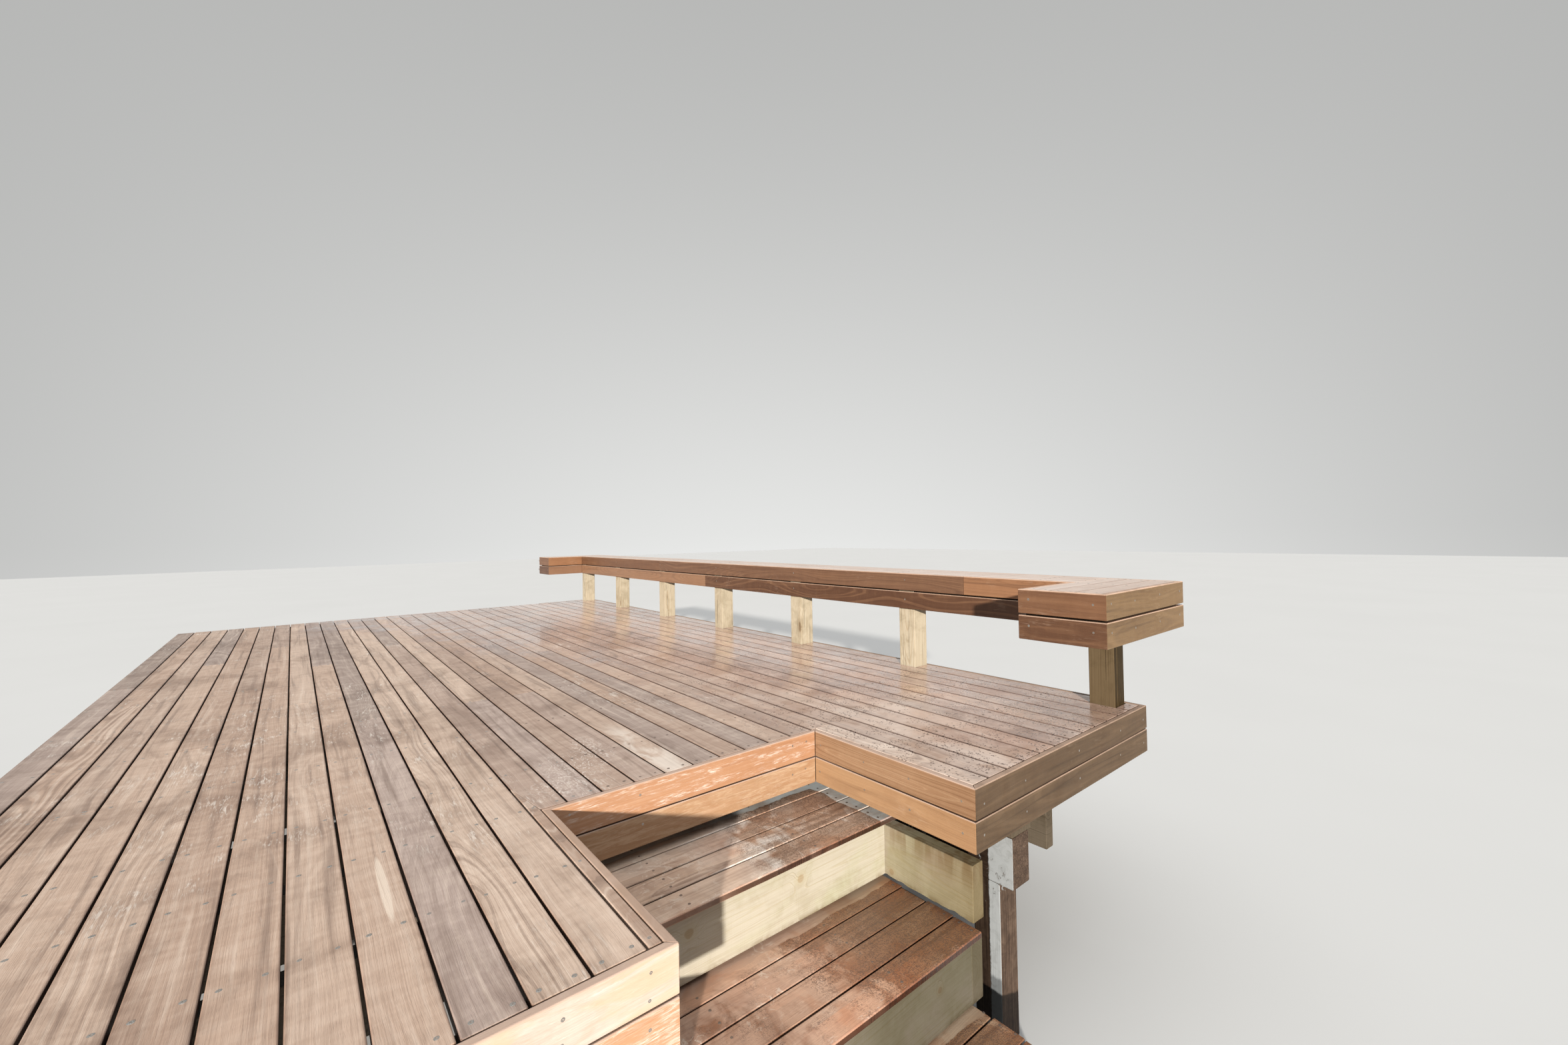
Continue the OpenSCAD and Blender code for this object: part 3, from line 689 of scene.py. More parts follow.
def step_pine_extra(g, col, q):
    x, y, z = g.sep(q["dk"])
    n = g.mul(g.sub(q["big"], 0.5), 0.3)
    # the right side board is darker toward its front and the lower risers much darker: painted shade, with some
    # weathering
    side = g.mul(g.step(x, 1.4545, 1.4555), g.step(z, 0.405, 0.412))
    side = g.mul(side, g.step(g.add(y, n), 0.42, 0.02, 0.55, 1.0))
    col = g.mix(side, col, (0.50, 0.43, 0.345), "MULTIPLY")
    runs = g.noise(g.vmath("MULTIPLY", q["dk"], (30.0, 30.0, 4.0)), 1.0, 2.0, 0.5)
    top = g.mul(g.mul(g.step(z, 0.50, 0.575), g.step(runs, 0.45, 0.62)), g.step(x, 1.4545, 1.4555))
    col = g.mix(g.mul(top, 0.6), col, (0.60, 0.46, 0.32), "MULTIPLY")
    # painted shade on the lower risers, more to the right
    low = g.mul(g.step(z, 0.408, 0.400), g.step(g.add(g.mul(x, 1.0), n), 0.75, 1.15, 0.75, 1.0))
    col = g.mix(low, col, (0.265, 0.25, 0.235), "MULTIPLY")
    # a dirt line where each riser meets the tread below
    base = g.math("MAXIMUM", g.mul(g.step(z, 0.410, 0.417), g.step(z, 0.450, 0.434)), g.mul(g.step(z, 0.205, 0.214), g.step(z, 0.245, 0.225)))
    return g.mix(g.mul(base, g.step(q["mid"], 0.35, 0.65, 0.1, 0.6)), col, (0.52, 0.45, 0.36), "MULTIPLY")


def frame_extra(g, col, q):
    # the joist tops, under the gaps of the decking, painted almost black: painted shade under the boards
    z = g.sep(q["dk"])[2]
    return g.mix(g.step(z, 0.8150, 0.8162), col, (0.12, 0.11, 0.10), "MULTIPLY")


def near_post_extra(g, col, q):
    # the face toward -Y is darker
    nrm = g.node("ShaderNodeNewGeometry").outputs["True Normal"]
    m = g.step(g.sep(nrm)[1], -0.6, -0.8)
    return g.mix(m, col, (0.31, 0.28, 0.19), "MULTIPLY")


M = {}
DECK_TONES = [(0.0, (0.31, 0.20, 0.145)), (0.2, (0.46, 0.325, 0.245)), (0.4, (0.55, 0.415, 0.325)), (0.6, (0.40, 0.285, 0.22)),
              (0.8, (0.43, 0.335, 0.29)), (1.0, (0.27, 0.205, 0.17))]
M["deck"] = hardwood("deck_hardwood", DECK_TONES, (0.17, 0.112, 0.084), (0.72, 0.60, 0.50), fig=0.50, streak=0.55, fibre=0.36, pore=0.12, rings=120.0,
                     blot=(0.54, 0.49, 0.46), blot_amt=0.6, wet=deck_wet, speck=deck_speck, pale=(0.78, 0.72, 0.65), pale_amt=0.6,
                     extra=deck_extra, edge=0.55, gap=0.0090, rough=0.56, wet_rough=0.13, wet_dark=(0.98, 0.82, 0.74), film=0.8, lines=(0.95, 1.6))
TREAD_TONES = [(0.0, (0.45, 0.335, 0.26)), (0.5, (0.56, 0.445, 0.365)), (1.0, (0.49, 0.39, 0.325))]
M["tread"] = hardwood("tread_hardwood", TREAD_TONES, (0.15, 0.085, 0.055), (0.60, 0.46, 0.35), fig=0.5, streak=0.5, pore=0.15, rings=120.0,
                      blot=(0.6, 0.52, 0.48), blot_amt=0.4, wet=tread_wet, speck=tread_speck, pale=(0.70, 0.62, 0.54), pale_amt=0.6,
                      wet_dark=(0.60, 0.465, 0.385), edge=0.3, gap=0.0072, extra=tread_extra, wet_rough=0.20)
FA = dict(gain=0.76, fig=0.5, streak=0.40, fibre=0.25, pore=0.07, edge=0.0, blot=(0.74, 0.64, 0.56), blot_amt=0.25, rings=95.0, ribs=0.05,
          top=(0.42, 0.30, 0.235), slot=((D - 87.5) / 1000.0, 0.0019), half=0.043)
FB = dict(FA, top=(0.50, 0.34, 0.25), slot=((BZ - 89.0) / 1000.0, 0.0034))
M["f_near_left"] = hardwood("fascia_near_left_hardwood", [(0.0, (0.72, 0.56, 0.475)), (0.5, (0.72, 0.56, 0.475)), (0.51, (0.60, 0.315, 0.17)), (1.0, (0.60, 0.315, 0.17))], (0.60, 0.37, 0.22), (0.84, 0.75, 0.65),
                            pale=(0.88, 0.80, 0.72), pale_amt=0.5, extra=near_extra, **FA)
M["f_back"] = hardwood("fascia_stair_back_hardwood", [(0.0, (0.52, 0.275, 0.150)), (0.5, (0.52, 0.275, 0.150)), (0.51, (0.46, 0.272, 0.150)), (1.0, (0.46, 0.272, 0.150))],
                       (0.40, 0.18, 0.085), (0.70, 0.46, 0.31), pale=(0.80, 0.68, 0.58), pale_amt=0.5, extra=back_extra, **FA)
M["f_right"] = hardwood("fascia_stair_right_hardwood", [(0.0, (0.375, 0.22, 0.125)), (0.45, (0.375, 0.22, 0.125)), (0.55, (0.45, 0.268, 0.143)), (1.0, (0.46, 0.275, 0.147))], (0.25, 0.135, 0.07), (0.50, 0.335, 0.205),
                        pale=(0.60, 0.45, 0.33), pale_amt=0.3, extra=right_extra, **dict(FA, fig=0.75, streak=0.45, rings=150.0))
# dark tones for the near-right fascia, the outer fascias and the bench boards: partly the wood's own colour, partly
# painted shade of this side
M["f_near_right"] = hardwood("fascia_near_right_hardwood", [(0.0, (0.104, 0.064, 0.035)), (1.0, (0.112, 0.070, 0.038))], (0.045, 0.027, 0.015), (0.21, 0.135, 0.078),
                             pale=(0.28, 0.21, 0.15), pale_amt=0.3, **dict(FA, top=(0.34, 0.235, 0.175), streak=0.75, fig=0.7))
M["bench_side"] = hardwood("bench_side_hardwood", [(0.0, (0.070, 0.031, 0.018)), (0.35, (0.36, 0.180, 0.092)), (0.6, (0.115, 0.054, 0.029)), (0.8, (0.27, 0.150, 0.090)), (1.0, (0.33, 0.18, 0.10))],
                           (0.075, 0.034, 0.02), (0.34, 0.185, 0.10), pale=(0.42, 0.30, 0.22), pale_amt=0.25, rough=0.45, **dict(FB, fig=0.35, rings=140.0))
M["bench_near"] = hardwood("bench_near_hardwood", [(0.0, (0.205, 0.122, 0.053)), (1.0, (0.19, 0.113, 0.050))], (0.10, 0.055, 0.025), (0.35, 0.225, 0.115),
                           pale=(0.40, 0.29, 0.18), pale_amt=0.2, rough=0.5, **dict(FB, streak=0.75, fig=0.6))
# light seat tones: partly the boards' weathered colour, partly a painted sheen
M["bench_top"] = hardwood("bench_top_hardwood", [(0.0, (0.57, 0.435, 0.355)), (1.0, (0.67, 0.54, 0.465))], (0.36, 0.24, 0.185), (0.74, 0.63, 0.55),
                          pale=(0.80, 0.74, 0.68), pale_amt=0.5, rough=0.32, gap=0.0088, lines=(0.0, 0.1), **dict(FB, slot=None, top=None, gain=None))
PINE = [(0.0, (0.59, 0.535, 0.435)), (0.5, (0.56, 0.51, 0.41)), (1.0, (0.535, 0.49, 0.40))]
M["pine"] = softwood("step_pine", PINE, (0.50, 0.43, 0.28), knot=(0.43, 0.335, 0.21), ring_amt=0.35, mill=0.10, green=0.3, dirt=0.35, dirt_col=(0.66, 0.61, 0.48),
                     knots=[((1102, 377, 548), 11), ((743, 377, 549), 12), ((1456, 352, 448), 9), ((1290, 49, 334), 8)], random_knots=0.0,
                     extra=step_pine_extra, gain=0.76)
M["post"] = softwood("post_pine", [(0.0, (0.56, 0.485, 0.365)), (1.0, (0.52, 0.445, 0.33))], (0.38, 0.28, 0.17), ring_amt=0.5,
                     random_knots=0.8, dirt=0.4, split=0.5, gain=0.76)
# the near post: a much darker copy of the post pine, partly its own colour and partly painted shade
M["post_near"] = softwood("near_post_pine", [(0.0, (0.150, 0.106, 0.058)), (1.0, (0.142, 0.100, 0.055))], (0.100, 0.066, 0.035), ring_amt=0.5,
                          random_knots=0.9, dirt=0.4, split=0.25, extra=near_post_extra, gain=0.80)
# very dark frame timbers: partly weathered pine, partly painted shade under the deck
M["frame"] = softwood("frame_pine", [(0.0, (0.105, 0.083, 0.060)), (0.5, (0.125, 0.10, 0.072)), (1.0, (0.088, 0.072, 0.054))], (0.055, 0.042, 0.028),
                      ring_amt=0.5, random_knots=0.8, dirt=0.55, mill=0.3, green=0.0, extra=frame_extra)


def old_paint(name):
    g = Mat(name, Specular_IOR_Level=0.4)
    bc = g.attr("bc").outputs["Vector"]
    dk = g.deck()
    x, y, z = g.sep(dk)
    u, v, w = g.sep(bc)
    fib = g.noise(g.xyz(g.mul(u, 7.0), g.mul(v, 260.0), g.mul(w, 260.0)), 1.0, 2.0, 0.6)
    big = g.noise(dk, 6.0, 4.0, 0.6, 0.5)
    mid = g.noise(dk, 34.0, 4.0, 0.65, 0.8)
    wood = g.ramp(g.add(g.mul(fib, 0.6), g.mul(mid, 0.4)), [(0.30, (0.022, 0.014, 0.010)), (0.5, (0.060, 0.038, 0.026)), (0.70, (0.13, 0.088, 0.062))])
    # the old paint, lighter above and darker grey below, given dark greys: partly painted shade
    paint = g.mix(g.step(g.add(z, g.mul(g.sub(mid, 0.5), 0.03)), 0.19, 0.205), (0.13, 0.137, 0.14), (0.285, 0.296, 0.30))
    paint = g.mix(g.mul(g.step(mid, 0.45, 0.65), 0.35), paint, (0.60, 0.60, 0.57), "MULTIPLY")
    nrm = g.node("ShaderNodeNewGeometry").outputs["True Normal"]
    nx, ny, nz = g.sep(nrm)
    side = g.step(g.math("MULTIPLY", nx, -1.0), 0.6, 0.8)
    front = g.step(g.add(y, g.mul(g.sub(mid, 0.5), 0.010)), 0.103, 0.099)
    whole = g.step(g.add(g.mul(big, 0.5), g.mul(mid, 0.5)), 0.62, 0.585)
    flake = g.mul(g.step(g.add(g.mul(big, 0.45), g.mul(mid, 0.55)), 0.60, 0.62), 1.0)
    m = g.math("MAXIMUM", g.mul(g.mul(side, front), whole), g.mul(flake, 0.8))
    # painted shade: the bare wood on the -X face beyond the painted strip, darkened almost to black
    wood = g.mix(g.mul(side, g.step(y, 0.099, 0.103)), wood, (0.35, 0.34, 0.33), "MULTIPLY")
    col = g.mix(m, wood, paint)
    rgh = g.fmix(m, 0.85, 0.45)
    hgt = g.add(g.mul(fib, 0.5), g.mul(m, 0.9))
    return g.end(col, rgh, hgt, 0.0012, 0.9)


M["paint"] = old_paint("old_painted_pine")


def metal(name, col, rough):
    g = Mat(name, Metallic=0.8)
    n = g.noise(g.deck(), 900.0, 2.0, 0.6)
    c = g.mix(g.mul(g.step(n, 0.45, 0.65), 0.6), col, (0.22, 0.17, 0.13))
    return g.end(c, g.add(g.mul(n, 0.3), rough), n, 0.0002, 0.5)


M["screw"] = metal("screw_steel", (0.46, 0.44, 0.41), 0.30)
M["screw_dull"] = metal("screw_steel_dirty", (0.27, 0.21, 0.175), 0.50)


# ---------------------------------------------------------------- decking
def deck_pieces():
    groups = (("deck_boards_left", range(-4, 9)), ("deck_boards_middle", range(9, 18)), ("deck_boards_right", range(18, 30)))
    joints = {5: [1870], 6: [1602], 8: [3722], 9: [1870], 11: [1870], 12: [1870], 13: [3259], 14: [1407], 4: [3259], 3: [2333], 2: [4185],
              15: [2796], 16: [4185], 17: [1870], 18: [2796], 19: [1407, 4185], 20: [2333], 21: [3722], 22: [944, 3259], 23: [1870, 4648], 24: [2796],
              25: [1407, 3722], 26: [2333], 27: [944, 3259], 28: [1870, 4185], 10: [4185], 7: [4648], 1: [2796], 0: [1870], -1: [3722], -2: [1407, 4185],
              -3: [2796], -4: [3259]}
    rows = [y + 22.5 for y in JOIST_Y] + [YEI - 22]
    sc, sc2 = Acc(), Acc()
    rs = random.Random(5)
    tones = {1: (0.15, 0.3), 2: (0.2, 0.5), 3: (0.3, 0.4), 4: (0.25, 0.2), 5: (0.80, 0.55), 6: (0.4, 0.85), 7: (0.42, 0.3), 8: (0.66, 0.4), 9: (0.8, 0.3), 10: (0.62, 0.5), 11: (0.7, 0.3), 12: (0.52, 0.4), 13: (0.9, 0.4), 14: (0.6, 0.3), 0: (0.3, 0.7), 15: (0.9, 0.5), 16: (0.3, 0.2), 17: (0.62, 0.6), 18: (0.9, 0.3), 19: (0.05, 0.4), 20: (0.5, 0.5), 21: (0.1, 0.3), 22: (0.2, 0.5)}
    for name, rng_n in groups:
        acc = Acc()
        for n in rng_n:
            rng = random.Random(1000 + n)
            a, b = G(n) + 2, G(n + 1) - 2
            near = (YLI if n <= 8 else T) + 2.0
            runs = []   # (x0, x1, y0, y1)
            if b <= XLI - 2.01 or a >= XRI + 2 - 0.01:
                runs.append((a, b, near, YEI - 2))
            else:
                runs.append((a, b, YBI + 2, YEI - 2))
                if a < XLI - 7:
                    runs.append((a, XLI - 2, near, 0))       # the strip beside the steps
                if b > XRI + 7:
                    runs.append((XRI + 2, b, near, YBI + 1.2))
            for (x0, x1, y0, y1) in runs:
                if y1 == 0:
                    # its back end is cut on a long taper against the full board
                    def trim(u, v, w, x0=x0):
                        t = min(max((u - 650.0) / 174.0, 0.0), 1.0)
                        return u, x0 + (v - x0) * (1.0 - 0.93 * t), w
                    timber(acc, (x0, x1, y0, 824, ZJ, D), "y", "z", rng, r=2.2, seg=60, trim=trim, tone=0.1)
                    continue
                if n == 18 and x0 > XR:
                    timber(acc, (x0, x1, y0, y1, ZJ, D), "y", "z", rng, r=2.2, seg=110)
                    continue
                if n == 29:
                    ys = [near] + sum([[py - 2, py + BP + 2] for py in POST_Y], [])[:-1]
                    for k in range(0, len(ys) - 1, 2):
                        timber(acc, (x0, x1, ys[k], ys[k + 1], ZJ, D), "y", "z", rng, r=2.2, seg=110, tone=(0.7, 0.3, 0.5, 0.75, 0.4, 0.6, 0.2, 0.5)[k // 2 % 8])
                    continue
                cuts = [y for y in joints.get(n, []) if y0 + 300 < y < y1 - 200]
                ys = [y0] + cuts + [y1]
                base = tones.get(n)
                for k in range(len(ys) - 1):
                    p0 = ys[k] + (0.6 if k else 0)
                    p1 = ys[k + 1] - (0.6 if k < len(ys) - 2 else 0)
                    trim = None
                    if n == 8 and k == 0:
                        def trim(u, v, w, x0=x0, x1=x1):
                            t = min(max((826.0 - u) / 176.0, 0.0), 1.0)
                            lead = 24.0 * t
                            return u, x1 - (x1 - v) * (1.0 - lead / (x1 - x0)), w
                    tn = base if k == 0 and base is not None else None
                    timber(acc, (x0, x1, p0, p1, ZJ, D), "y", "z", rng, r=2.2, seg=90 if k == 0 else 160, wob=0.7, cup=rng.uniform(-0.1, 0.5),
                           trim=trim, tone=tn)
            # screws
            for (x0, x1, y0, y1) in runs:
                lo, hi = y0, (y1 if y1 else 700)
                ysr = [y for y in [near + 22, 349] + rows if lo + 5 < y < hi - 5]
                su = sc if n < 10 else sc2
                extra = [c + s for c in joints.get(n, []) for s in (-9, 9) if lo < c < hi]
                w = x1 - x0
                for y in ysr:
                    if extra and any(abs(y - c) < 20 for c in joints.get(n, [])):
                        continue
                    o = 27 if n < 9 else 23
                    xs = [x0 + w / 2 - o, x0 + w / 2 + o] if w > 60 else ([x0 + w / 2] if w > 15 else [])
                    for x in xs:
                        if n == 29 and any(py - 12 < y < py + 109 for py in POST_Y):
                            continue
                        screw(su, (x + rs.uniform(-2.5, 2.5), y + rs.uniform(-4, 4), D - 0.35), (0, 0, 1), rs)
                for y in extra:
                    for x in (x0 + w / 2 - 23, x0 + w / 2 + 23):
                        screw(su, (x + rs.uniform(-2, 2), y + rs.uniform(-1.5, 1.5), D - 0.35), (0, 0, 1), rs)
        acc.piece(name + "_wood", [M["deck"]], "deck_hardwood", [name])
    sc.piece("deck_screws", [M["screw"]], "deck_hardwood")
    sc2.piece("deck_screws_far", [M["screw_dull"]], "deck_hardwood")


deck_pieces()


# ---------------------------------------------------------------- fascias
def two_boards(acc, box, ax, face, z, rng, cut0=None, cut1=None, h=FW, slot=FS, r=2.6, tones=(None, None), mi=0, splits=((), ())):
    for k in (0, 1):
        z1 = z - k * (h + slot)
        lo = {"x": box[0], "y": box[2]}[ax]; hi = {"x": box[1], "y": box[3]}[ax]
        cuts = [lo] + list(splits[k]) + [hi]
        for i in range(len(cuts) - 1):
            c0 = cut0 if i == 0 else (cuts[i] + 0.4, cuts[i] + 0.4)
            c1 = cut1 if i == len(cuts) - 2 else (cuts[i + 1] - 0.4, cuts[i + 1] - 0.4)
            timber(acc, (box[0], box[1], box[2], box[3], z1 - h, z1), ax, face, rng, r=r, er=0.8, seg=110, wob=0.5,
                   cut0=c0 or (lo, lo), cut1=c1 or (hi, hi), tone=tones[k] if i == 0 else None, mi=mi)


def fascia_screws(sc, pts, nrm, rng):
    for p in pts:
        screw(sc, p, nrm, rng, rad=2.9)


def fascias():
    e = 0.7
    sc = Acc()
    rs = random.Random(8)
    spec = (
        # node, box, axis, face, cut0 (low, high thickness), cut1, material, tones, splits
        ("fascia_near_left", (XW, XL, YL, YLI), "x", "y", (XW, XW), (XL - e, XLI - e), "f_near_left", (0.1, 0.8), ((), ())),
        ("fascia_stair_left", (XLI, XL, YL, YBI), "y", "x", (YLI + e, YL + e), (YBI - e, YB - e), "f_right", (0.4, 0.7), ((), ())),
        ("fascia_stair_back", (XLI, XRI, YB, YBI), "x", "y", (XL + e, XLI + e), (XR - e, XRI - e), "f_back", (0.2, 0.8), ((), ())),
        ("fascia_stair_right", (XR, XRI, 0, YBI), "y", "x", (e, T + e), (YB - e, YBI - e), "f_right", ((0.1, 1.0), (0.9, 0.5)), ((), ())),
        ("fascia_near_right", (XR, XO + T, 0, T), "x", "y", (XR + e, XRI + e), (XO + T - e, XO - e), "f_near_right", (0.3, 0.8), ((), ())),
        ("fascia_outer", (XO, XO + T, 0, YE), "y", "x", (T + e, e), (YEI - e, YE - e), "f_near_right", (0.5, 0.2), ((2333.0,), (3259.0,))),
        ("fascia_far", (XF, XO + T, YEI, YE), "x", "y", (XF, XF), (XO - e, XO + T - e), "f_near_right", (0.6, 0.3), ((), ())),
    )
    for k, (node, b, ax, face, c0, c1, mat, tones, splits) in enumerate(spec):
        acc = Acc()
        rng = random.Random(300 + k)
        two_boards(acc, (b[0], b[1], b[2], b[3]), ax, face, D, rng, c0, c1, tones=tones, splits=splits)
        if k == 0:
            zt = D - 2 * (FW + FS)
            timber(acc, (XW, XL, YL, YLI, zt - 64.0, zt), "x", "y", rng, r=2.6, er=0.8, seg=110, tone=0.9)
        acc.piece(node + "_wood", [M[mat]], "edge_hardwood", [node])
    for z in (D - 26, D - 69, D - 113, D - 152):
        fascia_screws(sc, [(x + rs.uniform(-4, 4), YL + 0.3, z + rs.uniform(-4, 4)) for x in (-640, -300, 40, 300, 445)], (0, -1, 0), rs)
    for z in (D - 45, D - 133):
        j = lambda: rs.uniform(-5, 5)
        fascia_screws(sc, [(x + j(), 0.3, z + j()) for x in (1432, 1648, 1988, 2300, 2505)], (0, -1, 0), rs)
        fascia_screws(sc, [(x + j(), YB + 0.3, z + 14 + j()) for x in (540, 742, 1290, 1350)], (0, -1, 0), rs)
        fascia_screws(sc, [(XR + 0.3, y + j(), z + j()) for y in (40, 225, 400, 606)], (-1, 0, 0), rs)
        fascia_screws(sc, [(XL - 0.3, y + j(), z + j()) for y in (20, 225, 400, 606)], (1, 0, 0), rs)
        fascia_screws(sc, [(XO + T - 0.3, y + j(), z + j()) for y in [36, 352] + [q + 22 for q in JOIST_Y] + [5400]], (1, 0, 0), rs)
        fascia_screws(sc, [(x + j(), YE - 0.3, z + j()) for x in (2010, 2300, 2500)], (0, 1, 0), rs)
    sc.piece("fascia_screws", [M["screw"]], "edge_hardwood")


fascias()


# ---------------------------------------------------------------- subfloor
def bars(node, slot, mat, rows, r=2.0, seg=300, wob=0.8, seed=0):
    acc = Acc()
    for k, (box, ax, face) in enumerate(rows):
        timber(acc, box, ax, face, random.Random(seed + k), r=r, seg=seg, wob=wob, nr=2, er=1.0)
    return acc.piece(node + "_wood", [M[mat]], slot, [node])


bars("ledgers", "frame_pine", "frame", [((XW, XW + 45, YLI, YEI, ZB, ZJ), "y", "x"), ((XW + 46, XF, YEI - 45, YEI, ZB, ZJ), "x", "y")], seed=400)
bars("joists_long", "frame_pine", "frame", [((XW + 45, PX - 45, y, y + 45, ZB, ZJ), "x", "y") for y in JOIST_Y]
     + [((XF, PX - 45, YEI - 45, YEI, ZB, ZJ), "x", "y")], seed=420)
bars("joists_short", "frame_pine", "frame", [((a, b, y, y + 45, ZB, ZJ), "x", "y") for a, b, y in ((XW + 45, XLI - 45, YLI), (XW + 45, XLI - 45, 330), (XRI + 45, PX - 45, T), (XRI + 45, PX - 45, 330))], seed=440)
bars("trimmers", "frame_pine", "frame", [((XLI - 45, XLI, YLI, YBI, ZB, ZJ), "y", "x"), ((XRI, XRI + 45, T, YBI, ZB, ZJ), "y", "x")], seed=450)
bars("rim_joist_outer", "frame_pine", "frame", [((PX - 45, PX, T, YEI, ZB, ZJ), "y", "x")], seed=455)
bars("fascia_packers", "frame_pine", "frame", [((PX, XO, T, T + 35, ZB, ZJ), "z", "y")]
     + [((PX, XO, y, y + 45, ZB, ZJ), "z", "y") for y in (330, 922, 1385, 1840, 2311, 2715, 3237, 3585, 4163, 4480, 5089)], seed=460)
bars("bearer_left", "frame_pine", "frame", [((-345, -255, 66, YE - 20, ZB - 150, ZB), "y", "x")], seed=480)
bars("bearer_middle", "frame_pine", "frame", [((250, 340, 66, YE - 20, ZB - 150, ZB), "y", "x")], seed=481)
bars("bearer_painted", "old_paint", "paint", [((1603, 1693, 22, YE - 20, PZ - 150, PZ), "y", "x")], seed=482, r=3.0)
bars("bearer_plate", "frame_pine", "frame", [((1603, 1708, 22, YE - 20, PZ, ZB), "y", "x")], seed=484)
bars("fascia_cleats", "frame_pine", "frame", [((x, x + 45, YLI, YLI + 45, D - 242, ZB), "z", "y") for x in (-620, -120, 380)], seed=486)
bars("step_hangers", "frame_pine", "frame", [((x, x + 45, 376, 648, TZ[0], ZJ), "z", "x") for x in (XLI - 90, XRI + 45)], seed=488)
bars("bearer_outer", "frame_pine", "frame", [((1965, 2010, 110, YE - 20, ZB - 240, ZB), "y", "x")], seed=483)
GY, GY2 = (80, 1400, 2700, 4000, 5290), (64, 1400, 2700, 4000, 5290)
bars("ground_posts", "frame_pine", "frame", [((x, x + 90, y, y + 90, 0, ZB - 150), "z", "y") for x in (-345, 250) for y in GY], seed=490, r=3.0)
bars("painted_posts", "old_paint", "paint", [((1603, 1693, y, y + 90, 0, PZ - 150), "z", "y") for y in GY2], seed=505, r=3.0)
bars("outer_posts", "frame_pine", "frame", [((2010, 2100, y, y + 90, 0, ZB - 5), "z", "y") for y in GY2[1:]], seed=515, r=3.0)


# ---------------------------------------------------------------- steps
def steps():
    sc = Acc()
    rs = random.Random(12)
    ends = (118.0, 72.0, 66.0)
    names = ("treads_upper", "treads_middle", "treads_lower")
    jig = ((0, 0, 0, 0, 0), (-4, -1, -9, 0, 0), (0, -5, -2, -8, 0))
    for t in range(3):
        acc = Acc()
        rng = random.Random(600 + t)
        n = 4 if t == 0 else 5
        for k in range(n):
            y = NY[t] + k * PITCH if k < 4 else YB + 1
            x0, x1 = XL - ends[t], XR + ends[t] + min(0, jig[t][k])
            timber(acc, (x0, x1, y, y + W, TZ[t] - T, TZ[t]), "x", "z", rng, r=3.2 if k == 0 else 2.4, seg=80, wob=0.8, cup=rng.uniform(0, 0.6),
                   tone=rng.random())
            for x in (XL - 22, 742, 1148, XR + 22) if t == 0 else (XL - 40, 742, 1148, XR + 55):
                for dy in (22, 66):
                    if k == 4 or (t > 0 and k == 3 and dy == 66):
                        continue
                    screw(sc, (x + rs.uniform(-3, 3), y + dy + rs.uniform(-2, 2), TZ[t] - 0.35), (0, 0, 1), rs, rad=3.0)
        acc.piece(names[t] + "_wood", [M["tread"]], "deck_hardwood", [names[t]])
    sc.piece("tread_screws", [M["screw_dull"]], "deck_hardwood")

    def one(node, rows, mat="pine", slot="pine", seed=0, seg=120, chips=None, **kw):
        acc = Acc()
        for k, (box, ax, face) in enumerate(rows):
            timber(acc, box, ax, face, random.Random(seed + k), r=2.2, seg=seg, wob=0.7, chips=chips if k == len(rows) - 1 else None, **kw)
        return acc.piece(node + "_wood", [M[mat]], slot, [node])

    one("riser_upper", [((XL, XR + 64, RY[0], RY[0] + 45, TZ[1] + LIFT, TZ[0] - T), "x", "y")], seed=640)
    one("riser_middle", [((XL - 48, XR + 41, RY[1], RY[1] + 45, TZ[2] + LIFT, TZ[1] - T), "x", "y")], seed=641)
    one("riser_lower", [((XL - 13, XR + 13, RY[2], RY[2] + 45, 0, TZ[2] - T), "x", "y")], seed=642)
    cr = random.Random(77)
    chipset = [(cr.uniform(80, 600), cr.uniform(6, 22), cr.uniform(2, 6)) for _ in range(16)]

    def chips(u, pv, pw):
        # broken lower arris on the stair side
        if pv > -0.93 or pw > 0.2:
            return 0.0
        s = 1.2 + 0.8 * math.sin(u / 17.0)
        for c, w, h in chipset:
            d = abs(u - c) / w
            if d < 1:
                s = max(s, h * (1 - d * d))
        return s

    one("sides_upper", [((XL - 50, XL, 43, 720, TZ[1], TZ[1] + 113), "y", "x"), ((XR + 64, XR + 114, 57, 720, TZ[1] + LIFT - 4, TZ[1] + LIFT + 155), "y", "x")],
        seed=650, seg=9, chips=chips)
    one("sides_middle", [((XL - 98, XL - 48, RY[1], 720, TZ[2], TZ[1] - T), "y", "x"), ((XR + 41, XR + 91, RY[1], 720, TZ[2] + LIFT, TZ[1] - T), "y", "x")], seed=655)
    one("sides_lower", [((a, a + 45, RY[2], 720, 0, TZ[2] - T), "y", "x") for a in (XL - 58, XR + 13)], seed=660)
    for t, (node, side, z0) in enumerate((("stringers_upper", (0, 64), TZ[1]), ("stringers_middle", (48, 41), TZ[2]), ("stringers_lower", (13, 13), 0))):
        z1 = TZ[t] - T
        rows = [((x, x + 45, RY[t] + 45, 674, z0, z1), "y", "x") for x in SX] + [((XL - side[0], XR + side[1], 675, 720, z0, z1), "x", "y")]
        one(node, rows, mat="frame", slot="frame_pine", seed=670 + 5 * t)


steps()


